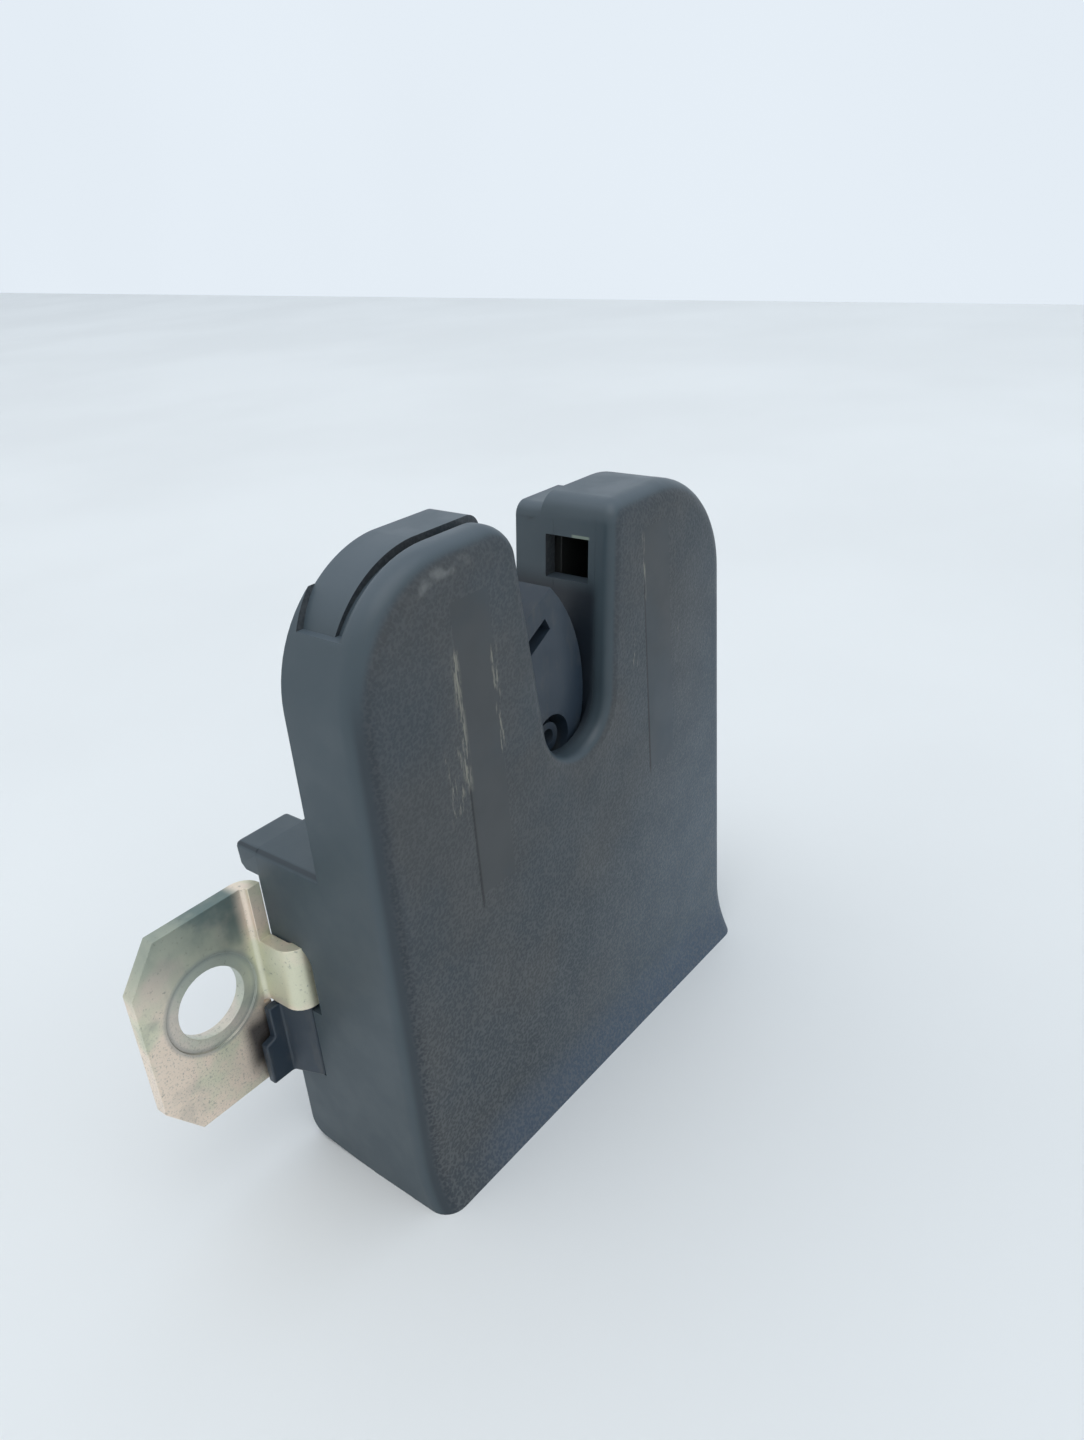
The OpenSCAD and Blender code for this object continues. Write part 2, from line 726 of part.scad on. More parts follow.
module release_lever() {
    color(zinc) {
        slab(lever_y0, lever_y1) lever_plan();
        pin(lever_tab_at, spring_peg_r, lever_y1 - 1, lever_spring_y + 2);
    }
}

washer_t = 0.8;
ring_t = 0.8;
lever_spring_y = lever_y1 + run_gap + washer_t + 0.1;
lever_spring_h = 2 * (2 * lever_wire + wire_gap) + 2 * lever_wire;
ring_y = lever_spring_y + lever_spring_h + spring_gap;

module lever_pivot() {
    color(steel) {
        difference() {
            pin(lever_at, lever_pin_r, panel_y0, ring_y + ring_t + 0.6);
            difference() {
                pin(lever_at, lever_pin_r + 1, ring_y - 0.05, ring_y + ring_t + 0.05);
                pin(lever_at, lever_pin_r - 0.6, ring_y - 1, ring_y + ring_t + 1);
            }
        }
        pin(lever_at, lever_pin_r + 1.2, panel_y1, lever_y0 - 0.1);
    }
}

module lever_washer() {
    color(steel) difference() {
        pin(lever_at, lever_pin_r + 2.6, lever_y1 + run_gap, lever_y1 + run_gap + washer_t);
        pin(lever_at, lever_pin_r + snug, lever_y1, lever_y1 + 3);
    }
}

module lever_ring() {
    color(steel) difference() {
        pin(lever_at, lever_pin_r + 2.4, ring_y, ring_y + ring_t);
        pin(lever_at, lever_pin_r - 0.6 + snug, ring_y - 1, ring_y + ring_t + 1);
        block([lever_at.x - 1.3, ring_y - 1, lever_at.y],
              [lever_at.x + 1.3, ring_y + ring_t + 1, lever_at.y + lever_pin_r + 3]);
    }
}

module lever_spring() {
    color(steel) torsion_spring(lever_at, lever_spring_y, lever_coil, lever_wire, 1,
                                lever_tab_at, lever_peg_at, spring_peg_r, spring_peg_r);
}

// Snap-in bush that takes the release rod
module rod_clip() {
    flange_r = rod_r + rod_wall + 1.2;
    color(nylon) difference() {
        union() {
            pin(rod_at, rod_r + rod_wall, lever_y0 - 0.1, lever_y1 + 0.5);
            pin(rod_at, flange_r, lever_y1, lever_y1 + 2.4);
        }
        pin(rod_at, rod_r, lever_y0 - 1, lever_y1 + 4);
    }
}

front_cover();
rear_housing();
base_plate();
plate_screws();
spring_pegs();
catch();
catch_pivot();
catch_spring();
catch_stop();
stop_peg();
striker_buffer();
pawl();
pawl_stud();
pawl_pivot();
pawl_spring();
release_lever();
lever_pivot();
lever_washer();
lever_ring();
lever_spring();
rod_clip();
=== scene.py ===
"""Boot latch: a grained black hood with a striker slot, zinc-plated ears and the catch behind the slot.

Metres throughout. X to the right, Y to the back, Z up, from the middle between the two ear holes.
"""

import math

import bmesh
import bpy
from bpy.props import FloatProperty, FloatVectorProperty, PointerProperty
from mathutils import Matrix, Vector


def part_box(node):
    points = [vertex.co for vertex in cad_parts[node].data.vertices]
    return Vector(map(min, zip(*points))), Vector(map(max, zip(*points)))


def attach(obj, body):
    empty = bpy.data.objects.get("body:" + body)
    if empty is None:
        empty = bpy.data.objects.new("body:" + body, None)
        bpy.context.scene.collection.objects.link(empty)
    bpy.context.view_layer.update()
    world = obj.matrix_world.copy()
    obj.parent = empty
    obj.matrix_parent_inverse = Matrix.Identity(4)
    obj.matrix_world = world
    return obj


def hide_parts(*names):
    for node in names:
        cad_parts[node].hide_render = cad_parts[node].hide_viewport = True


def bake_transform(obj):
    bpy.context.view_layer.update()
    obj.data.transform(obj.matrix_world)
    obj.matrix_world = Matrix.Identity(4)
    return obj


bl_info = {
    "name": "Boot Latch",
    "version": (1, 0, 0),
    "blender": (4, 5, 0),
    "location": "3D View > Sidebar > Boot Latch",
    "description": "Models the latch's cover, dresses its other pieces and sets the stage",
    "category": "Object",
}

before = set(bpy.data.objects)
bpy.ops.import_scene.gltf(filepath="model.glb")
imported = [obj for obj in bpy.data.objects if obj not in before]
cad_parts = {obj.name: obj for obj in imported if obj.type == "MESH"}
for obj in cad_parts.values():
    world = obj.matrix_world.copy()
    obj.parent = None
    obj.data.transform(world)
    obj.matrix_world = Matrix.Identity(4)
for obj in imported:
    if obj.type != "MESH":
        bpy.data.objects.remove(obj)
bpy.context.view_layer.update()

MM = 0.001
X, Y, Z = range(3)
# Kept between walls that would otherwise lie in one plane
HAIR = 0.02 * MM
# Points closer than this are one
TINY = 0.001 * MM
# How far a cutting block runs past the walls that it opens
PAST = 1 * MM

COVER_LOW, COVER_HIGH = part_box("front_cover")
# Front and rear of the base plate's panel
PANEL_FRONT = -15.4 * MM
PANEL_REAR = -13.6 * MM
# Middle of the ears' holes, out from the middle of the latch
EAR_HOLE = 43.6 * MM
# Left edge and top of each smooth strip on the face, their width and their lower end, in millimetres
STRIPS = ((-20.4, 46.0), (14.5, 44.0))
STRIP_WIDTH = 5.9
STRIP_LOW = 10.3


def length(label, text, value):
    """A length in millimetres as a property in metres."""
    return FloatProperty(
        name=label, description=text, default=value * MM, min=0.0, unit="LENGTH", precision=5
    )


def tint(label, text, value):
    """A linear colour as a property."""
    return FloatVectorProperty(
        name=label, description=text, default=value, size=3, min=0.0, max=1.0, subtype="COLOR"
    )


class CoverSizes(bpy.types.PropertyGroup):
    """Sizes of the moulded cover."""

    wall: length("Wall", "Thickness of the cover's wall", 2.2)
    corner: length("Outer corner", "Radius of the lobes' outer top corners", 15)
    right_drop: length("Right lobe drop", "How much lower the right lobe stands", 3.4)
    edge_round: length("Edge rounding", "Rounding of the face's outer edge", 2.8)
    slot_round: length("Slot edge rounding", "Rounding of the slot's front edge", 1.6)
    upper_depth: length("Upper depth", "Face to the rear of the upper walls", 11.2)
    lower_depth: length("Lower depth", "Face to the rear of the lower walls", 23.1)
    lip_reach: length("Lip reach", "How far the bottom lip flares forward", 2)
    lip_height: length("Lip height", "Height over which the lip flares", 8.5)
    slot_radius: length("Slot radius", "Radius of the slot's round bottom", 6.3)
    slot_floor: length("Slot floor", "Height of the slot's lowest point above the bottom edge", 47.9)
    slot_depth: length("Slot depth", "Face to the rear of the slot's lining", 14)
    lining: length("Slot lining", "Thickness of the slot's lining", 1.8)
    mouth_left: length("Left mouth corner", "Radius of the left rim's corner beside the slot", 4.6)
    mouth_right: length("Right mouth corner", "Radius of the right lobe's corner beside the slot", 3)
    mouth_rear: length("Rear mouth corner", "Radius of the left lobe's corner behind its rim", 1.8)
    rim: length("Rim depth", "Face to the groove behind the left lobe's rim", 4.3)
    groove: length("Groove depth", "Depth of the groove behind the left lobe's rim", 1.2)
    strip_step: length("Strip step", "Depth of the two smooth strips along their left edges", 0.16)
    slot_slope: FloatProperty(
        name="Slot slope",
        description="Lean of the slot's flanks",
        default=math.radians(6.4),
        subtype="ANGLE",
    )


class FinishColours(bpy.types.PropertyGroup):
    """Colours of the finishes."""

    grained: tint("Grained plastic", "Grained black of the face", (0.031, 0.042, 0.052))
    grained_warm: tint("Worn plastic", "Warmer black where the face is handled", (0.042, 0.047, 0.051))
    # Partly dust, partly a painted sheen that lightens the face towards its lower right
    dust_and_painted_sheen: tint("Dusty plastic", "Bluish bloom of the face's lower right", (0.066, 0.100, 0.134))
    # Painted bluish sheen on the bottom lip, as from a pale sky
    lip: tint("Lip", "Bluish bloom of the bottom lip", (0.046, 0.074, 0.118))
    tips: tint("Grain tips", "Worn tips of the grain", (0.125, 0.135, 0.14))
    specks: tint("Specks", "Pale specks on the grain", (0.20, 0.215, 0.215))
    # Painted shade along the stepped left edge of each smooth strip
    line: tint("Line", "Dark line along each strip", (0.008, 0.009, 0.011))
    # Partly rubbed wear, partly a painted highlight on the left lobe's rounded rim
    rub_wear_and_highlight: tint("Rubbed spots", "Pale spots on the left lobe's rim", (0.23, 0.24, 0.235))
    # Painted shade on the rounding along the face's left
    painted_left_edge_shade: tint("Left edge", "Dark rounding along the face's left", (0.014, 0.022, 0.031))
    # Painted sheen on faces that look up
    painted_top_sheen: tint("Tops", "Paler faces that look up", (0.085, 0.112, 0.135))
    # Painted greenish glint along the window's top edge
    painted_window_glint: tint("Worn edge", "Greenish wear along the window", (0.22, 0.27, 0.22))
    smooth: tint("Smooth plastic", "Black of the cover's walls", (0.045, 0.066, 0.080))
    moulded: tint("Moulded plastic", "Black of the housing and the catch", (0.022, 0.036, 0.054))
    handled: tint("Handling marks", "Faint marks on the housing and the catch", (0.050, 0.058, 0.064))
    scuff: tint("Scuff", "Pale marks along the strips", (0.30, 0.29, 0.23))
    # Painted shade inside the slot, on the ears beside the hooks and on the plate behind the window
    painted_shade: tint("Grease", "Old grease in the slot and behind its window", (0.006, 0.010, 0.017))
    zinc: tint("Zinc", "Yellowish zinc plating", (0.76, 0.75, 0.57))
    # Pinkish bloom of the plating, with painted light gathering it towards each ear's lower outer part
    zinc_pink_and_painted_light: tint("Zinc bloom", "Pinkish bloom on the plating", (0.95, 0.80, 0.66))
    # Greenish grey patina in random patches, and a painted reflection of the dark cover on each ear's
    # upper inner part
    zinc_grey_and_reflection: tint("Zinc shade", "Greenish grey shade of the plating", (0.15, 0.205, 0.195))
    zinc_coined: tint("Coined face", "Greyer face round the ears' holes", (0.36, 0.43, 0.44))
    # Painted shade along the step at the edge of the coined face round the ears' holes
    coined_edge_shade: tint("Coined ring", "Dark ring round the ears' holes", (0.22, 0.26, 0.27))
    zinc_pepper: tint("Pepper", "Fine dark specks on the plating", (0.30, 0.30, 0.25))
    zinc_specks: tint("Zinc specks", "Larger dark specks on the plating", (0.20, 0.21, 0.18))
    steel: tint("Steel", "Bare steel of pivots, pegs and screws", (0.50, 0.50, 0.51))
    wire: tint("Spring wire", "Drawn wire of the springs", (0.34, 0.34, 0.35))
    rubber: tint("Rubber", "Rubber of the stop and the buffer", (0.016, 0.016, 0.017))
    rubber_bloom: tint("Rubber bloom", "Dusty bloom on the rubber", (0.05, 0.05, 0.05))
    nylon: tint("Nylon", "Nylon of the rod clip", (0.58, 0.55, 0.46))
    nylon_cloud: tint("Nylon clouds", "Darker clouds in the nylon", (0.50, 0.46, 0.37))


class StageSettings(bpy.types.PropertyGroup):
    """Floor, backdrop and light."""

    floor: tint("Floor", "Colour of the floor", (0.85, 0.86, 0.855))
    backdrop: tint("Backdrop", "Colour of the backdrop", (0.79, 0.86, 0.93))
    key_power: FloatProperty(
        name="Key light", description="Power of the large lamp", default=7.0, min=0.0, unit="POWER"
    )
    sky: FloatProperty(name="Sky", description="Strength of the even light", default=0.88, min=0.0)


# Ways to model


def leave_edit():
    bpy.ops.object.mode_set(mode="OBJECT")


def fresh():
    """Object mode with nothing selected."""
    if bpy.context.mode != "OBJECT":
        leave_edit()
    bpy.ops.object.select_all(action="DESELECT")


def only(obj):
    """Object mode with one object selected and active."""
    fresh()
    obj.select_set(True)
    bpy.context.view_layer.objects.active = obj


def edit_all(obj):
    """Edit mode with the whole of one object selected."""
    only(obj)
    bpy.ops.object.mode_set(mode="EDIT")
    bpy.ops.mesh.select_all(action="SELECT")


def settle(name):
    """Names the new primitive and moves its place into its mesh."""
    obj = bpy.context.object
    obj.name = name
    obj.data.name = name
    bpy.ops.object.transform_apply(location=True, rotation=True, scale=True)
    return obj


def add_block(name, low, high):
    """A block between two corners."""
    fresh()
    low, high = Vector(low), Vector(high)
    bpy.ops.mesh.primitive_cube_add(size=1, location=(low + high) / 2, scale=high - low)
    return settle(name)


def add_round(name, x, z, radius, front, rear, sides=64):
    """A round bar along Y."""
    fresh()
    bpy.ops.mesh.primitive_cylinder_add(
        vertices=sides,
        radius=radius,
        depth=rear - front,
        location=(x, (front + rear) / 2, z),
        rotation=(math.pi / 2, 0, 0),
    )
    return settle(name)


def pick(obj, kind, test):
    """Selects the vertices, edges or faces that pass a test, in edit mode."""
    only(obj)
    bpy.ops.object.mode_set(mode="EDIT")
    bpy.ops.mesh.select_mode(type=kind)
    bpy.ops.mesh.select_all(action="DESELECT")
    mesh = bmesh.from_edit_mesh(obj.data)
    parts = {"VERT": mesh.verts, "EDGE": mesh.edges, "FACE": mesh.faces}[kind]
    found = [part for part in parts if test(part)]
    if not found:
        raise RuntimeError(f"nothing to select on {obj.name}")
    for part in found:
        part.select_set(True)
    mesh.select_flush_mode()
    bmesh.update_edit_mesh(obj.data)


def middle(edge):
    return (edge.verts[0].co + edge.verts[1].co) / 2


def runs_along(edge, axis):
    """Whether an edge runs along X, Y or Z."""
    step = edge.verts[1].co - edge.verts[0].co
    return all(abs(step[i]) < HAIR for i in (X, Y, Z) if i != axis)


def near(a, b):
    return abs(a - b) < HAIR


def shift(step):
    bpy.ops.transform.translate(value=step)


def round_picked(radius, segments):
    """Rounds the selected edges."""
    bpy.ops.mesh.bevel(offset_type="OFFSET", offset=radius, segments=segments, affect="EDGES")
    leave_edit()


def score(obj, axis, at):
    """Cuts new edges where an object crosses a place on an axis."""
    edit_all(obj)
    normal = Vector([float(i == axis) for i in (X, Y, Z)])
    bpy.ops.mesh.bisect(plane_co=normal * at, plane_no=normal, use_fill=False, threshold=TINY)
    leave_edit()


def carve(obj, tool, how="DIFFERENCE"):
    """Cuts a tool from an object, joins it on or keeps what both share, and removes the tool."""
    only(obj)
    cut = obj.modifiers.new("carve", "BOOLEAN")
    cut.operation = how
    cut.solver = "EXACT"
    cut.object = tool
    bpy.ops.object.modifier_apply(modifier=cut.name)
    bpy.data.objects.remove(tool)


def as_one(*pieces):
    """Puts separate blocks into one mesh."""
    only(pieces[0])
    for piece in pieces:
        piece.select_set(True)
    bpy.ops.object.join()
    return pieces[0]


def join_on(obj, tool):
    carve(obj, tool, "UNION")


def soften(obj, width, segments):
    """Breaks the sharp edges of an object with a small rounding."""
    only(obj)
    edge = obj.modifiers.new("edges", "BEVEL")
    edge.width = width
    edge.segments = segments
    edge.limit_method = "ANGLE"
    edge.angle_limit = math.radians(40)
    edge.use_clamp_overlap = True
    edge.miter_outer = "MITER_ARC"
    bpy.ops.object.modifier_apply(modifier=edge.name)
    edit_all(obj)
    bpy.ops.mesh.remove_doubles(threshold=TINY)
    bpy.ops.mesh.dissolve_degenerate(threshold=TINY)
    leave_edit()


def clean(obj, flatness=0.05):
    """Merges doubles and joins flat neighbours."""
    edit_all(obj)
    bpy.ops.mesh.remove_doubles(threshold=TINY)
    bpy.ops.mesh.dissolve_limited(angle_limit=math.radians(flatness))
    leave_edit()


def shade(obj, angle=35):
    """Smooth shading that keeps the broad faces flat."""
    only(obj)
    bpy.ops.object.shade_smooth_by_angle(angle=math.radians(angle))
    weigh = obj.modifiers.new("normals", "WEIGHTED_NORMAL")
    weigh.keep_sharp = True
    weigh.weight = 80
    bpy.ops.object.modifier_apply(modifier=weigh.name)


def hand_over(piece, body, node, look):
    """Gives a piece its finish and, when a body is given, its body, and hides the solid that it stands
    for.
    """
    piece.data.materials.clear()
    piece.data.materials.append(finish(look))
    if body:
        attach(piece, body)
    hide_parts(node)


def dress(node, body, look, edge, segments=2, trim=None):
    """A copy of a solid in its place, with edges broken by some millimetres and smooth shading."""
    piece = bpy.data.objects.new(f"{node}_dressed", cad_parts[node].data.copy())
    bpy.context.scene.collection.objects.link(piece)
    clean(piece, 0.5)
    if trim:
        trim(piece)
    if edge:
        soften(piece, edge * MM, segments)
    shade(piece)
    hand_over(piece, body, node, look)
    return piece


# Finishes


class Finish:
    """The node tree of one finish, with short ways to add and join nodes."""

    def __init__(self, name):
        self.material = bpy.data.materials.new(name)
        self.material.use_nodes = True
        self.tree = self.material.node_tree
        self.shader = self.tree.nodes["Principled BSDF"]
        coords = self.tree.nodes.new("ShaderNodeTexCoord")
        self.place = coords.outputs["Object"]
        self.facing = coords.outputs["Normal"]

    def feed(self, socket, value):
        if isinstance(value, bpy.types.NodeSocket):
            self.tree.links.new(value, socket)
        else:
            socket.default_value = value

    def set(self, **values):
        """Sets or joins the shader's own sockets."""
        for name, value in values.items():
            self.feed(self.shader.inputs[name.replace("_", " ")], value)

    def add(self, kind, inputs, **settings):
        """A new node with its settings and inputs."""
        node = self.tree.nodes.new(f"ShaderNode{kind}")
        for name, value in settings.items():
            setattr(node, name, value)
        for name, value in inputs.items():
            self.feed(node.inputs[name], value)
        return node

    def math(self, how, a, b=0.0):
        return self.add("Math", {0: a, 1: b}, operation=how).outputs[0]

    def plus(self, a, b):
        return self.math("ADD", a, b)

    def minus(self, a, b):
        return self.math("SUBTRACT", a, b)

    def times(self, total, *shares):
        for share in shares:
            total = self.math("MULTIPLY", total, share)
        return total

    def largest(self, most, *others):
        for other in others:
            most = self.math("MAXIMUM", most, other)
        return most

    def distance(self, a, b):
        return self.math("SQRT", self.plus(self.times(a, a), self.times(b, b)))

    def split(self, vector):
        return self.add("SeparateXYZ", {0: vector}).outputs

    def ramp(self, value, low, high, start=0.0, end=1.0):
        """A smooth step from start to end as a value goes from low to high."""
        inputs = {0: value, 1: low, 2: high, 3: start, 4: end}
        return self.add("MapRange", inputs, interpolation_type="SMOOTHSTEP").outputs[0]

    def between(self, value, low, high, soft):
        """1 between two places in millimetres, fading to 0 past them."""
        rise = self.ramp(value, (low - soft) * MM, low * MM)
        fall = self.ramp(value, high * MM, (high + soft) * MM, 1.0, 0.0)
        return self.times(rise, fall)

    def stretched(self, scale, spot=(0, 0, 0)):
        inputs = {"Vector": self.place, "Location": spot, "Scale": scale}
        return self.add("Mapping", inputs).outputs[0]

    def stirred(self, scale, reach):
        """Object coordinates pushed about by noise."""
        noise = self.add("TexNoise", {"Vector": self.place, "Scale": scale}).outputs["Color"]
        inputs = {0: noise, 1: (reach, reach, reach), 2: self.place}
        return self.add("VectorMath", inputs, operation="MULTIPLY_ADD").outputs[0]

    def noise(self, scale, detail=3.0, rough=0.5, vector=None):
        inputs = {"Vector": vector or self.place, "Scale": scale, "Detail": detail, "Roughness": rough}
        return self.add("TexNoise", inputs).outputs["Fac"]

    def cells(self, scale, vector):
        inputs = {"Vector": vector, "Scale": scale, "Smoothness": 0.6}
        return self.add("TexVoronoi", inputs, feature="SMOOTH_F1").outputs["Distance"]

    def mix(self, share, a, b):
        """Colour a with a share of colour b."""
        inputs = {0: share}
        for i, colour in ((6, a), (7, b)):
            inputs[i] = colour if isinstance(colour, bpy.types.NodeSocket) else (*colour, 1.0)
        return self.add("Mix", inputs, data_type="RGBA").outputs[2]

    def bump(self, height, strength, distance):
        inputs = {"Strength": strength, "Distance": distance, "Height": height}
        self.set(Normal=self.add("Bump", inputs).outputs[0])


def grained_black(colours):
    """Moulded black: leather grain on the face, smooth strips and walls, pale scuffs, with painted
    sheen, highlights, glint and shade.
    """
    f = Finish("grained_black")
    x, y, z = f.split(f.place)
    to_x, to_y, to_z = f.split(f.facing)
    front = f.ramp(f.times(to_y, -1), 0.70, 0.92)
    walls = f.minus(1.0, front)
    soft = 0.1
    strips = [
        f.times(
            f.between(x, left + soft, left + STRIP_WIDTH - soft, soft),
            f.between(z, STRIP_LOW + soft, top - soft, soft),
        )
        for left, top in STRIPS
    ]
    grain = f.minus(front, f.times(f.largest(*strips), front))
    ragged = f.noise(1.0, 4.0, 0.6, f.stretched((2600, 2600, 420)))

    def streak(at, wide, low, high, gate):
        """A broken line down the face, with its place, width and ends in millimetres."""
        reach = f.math("ABSOLUTE", f.minus(x, at * MM))
        line = f.ramp(reach, 0.2 * wide * MM, wide * MM, 1.0, 0.0)
        return f.times(line, f.between(z, low, high, 1.5), f.ramp(ragged, gate, gate + 0.16), front)

    scuffs = f.largest(
        streak(-20.5, 0.9, 25.0, 40.0, 0.44),
        streak(-14.6, 0.8, 27.0, 38.5, 0.50),
        streak(14.7, 0.5, 35.0, 42.5, 0.46),
        streak(-22.4, 2.2, 22.0, 30.0, 0.56),
        streak(11.8, 0.9, 27.0, 31.0, 0.52),
        streak(21.5, 1.6, 24.0, 40.0, 0.60),
    )
    # Painted shade down the lower part of each strip's stepped left edge
    lines = f.largest(streak(-20.4, 0.32, 9.5, 24.0, 0.22), streak(14.6, 0.32, 10.5, 36.0, 0.22))

    # Rubbed wear with a painted highlight along the rounding of the left lobe's rim
    corner = bpy.context.scene.latch_cover.corner
    across = f.math("MINIMUM", f.minus(x, corner - COVER_HIGH.x), 0.0)
    along = f.largest(f.minus(z, COVER_HIGH.z - corner), 0.0)
    rim = f.between(f.minus(corner, f.distance(across, along)), 2.1, 2.6, 0.7)
    rub_wear_and_highlight = f.times(rim, f.between(x, -24.0, -18.5, 2.5), f.ramp(f.noise(330, 3.0), 0.42, 0.62))

    warmth = f.times(f.ramp(f.noise(70, 4.0), 0.35, 0.65), front)
    colour = f.mix(warmth, colours.grained, colours.grained_warm)
    # Painted sheen with some dust, growing towards the face's lower right
    lean = f.minus(f.times(x, 0.8), f.times(z, 0.5))
    colour = f.mix(f.times(f.ramp(lean, -8 * MM, 34 * MM), 0.8), colour, colours.dust_and_painted_sheen)
    colour = f.mix(walls, colour, colours.smooth)
    # Painted sheen on upward-facing faces, stronger higher up
    painted_top_sheen = f.times(f.ramp(to_z, 0.5, 0.9), f.ramp(z, 22 * MM, 34 * MM, 0.2, 0.7))
    colour = f.mix(painted_top_sheen, colour, colours.painted_top_sheen)
    # Painted bluish sheen on the bottom lip, strongest low down and fading out towards the left
    lip = f.times(f.ramp(z, -20 * MM, -27 * MM, 0.0, 0.7), f.ramp(x, -32 * MM, -20 * MM))
    colour = f.mix(lip, colour, colours.lip)
    # Painted shade on the left-facing rounding of the face's upper left
    painted_left_edge_shade = f.times(
        f.ramp(to_x, -0.95, -0.75),
        f.ramp(to_x, -0.45, -0.2, 1.0, 0.0),
        f.ramp(x, -30 * MM, -33 * MM),
        f.ramp(z, 34 * MM, 44 * MM, 0.7, 0.0),
    )
    colour = f.mix(painted_left_edge_shade, colour, colours.painted_left_edge_shade)
    # Painted shade on the slot's inner walls
    painted_slot_shade = f.times(
        f.ramp(y, -23 * MM, -21.4 * MM),
        f.between(x, -9.5, 9.5, 0.4),
        f.ramp(z, 36.5 * MM, 40 * MM, 1.0, 0.0),
        f.ramp(z, 17.5 * MM, 21.5 * MM),
        walls,
    )
    colour = f.mix(f.times(painted_slot_shade, 0.92), colour, colours.painted_shade)
    leather = f.cells(2500, f.stirred(1500, 0.4 * MM))
    height = f.plus(leather, f.times(f.noise(4200, 2.0), 0.5))
    tips = f.times(f.ramp(height, 0.60, 0.95), grain, f.ramp(z, -20 * MM, 22 * MM, 0.42, 0.18))
    colour = f.mix(tips, colour, colours.tips)
    fine = f.ramp(f.noise(5600, 2.0, 0.6), 0.60, 0.70)
    specks = f.times(fine, grain, f.ramp(lean, -14 * MM, 16 * MM, 0.0, 0.5))
    colour = f.mix(specks, colour, colours.specks)
    colour = f.mix(f.times(rub_wear_and_highlight, 0.42), colour, colours.rub_wear_and_highlight)
    colour = f.mix(f.times(scuffs, 0.6), colour, colours.scuff)
    colour = f.mix(f.times(lines, 0.9), colour, colours.line)
    # Painted glint along the top edge of the window in the slot's right wall
    painted_window_glint = f.times(
        f.between(x, 6.0, 11.0, 0.5), f.between(y, -21.0, -18.8, 0.4), f.between(z, 43.85, 44.1, 0.12)
    )
    colour = f.mix(f.times(painted_window_glint, 0.8), colour, colours.painted_window_glint)
    rough = f.plus(f.ramp(f.noise(220, 3.0), 0.3, 0.7, 0.40, 0.50), f.times(grain, 0.05))
    f.set(Base_Color=colour, Roughness=rough, IOR=1.5)
    f.bump(height, f.plus(f.times(grain, 0.42), 0.03), 0.1 * MM)
    return f.material


def smooth_black(colours):
    """Satin black plastic with faint handling marks."""
    f = Finish("smooth_black")
    marks = f.noise(1.0, 4.0, 0.6, f.stretched((500, 500, 160)))
    colour = f.mix(f.ramp(marks, 0.45, 0.8), colours.moulded, colours.handled)
    f.set(Base_Color=colour, Roughness=f.ramp(f.noise(300, 3.0), 0.3, 0.7, 0.34, 0.48), IOR=1.5)
    f.bump(f.noise(2600, 2.0), 0.08, 0.05 * MM)
    return f.material


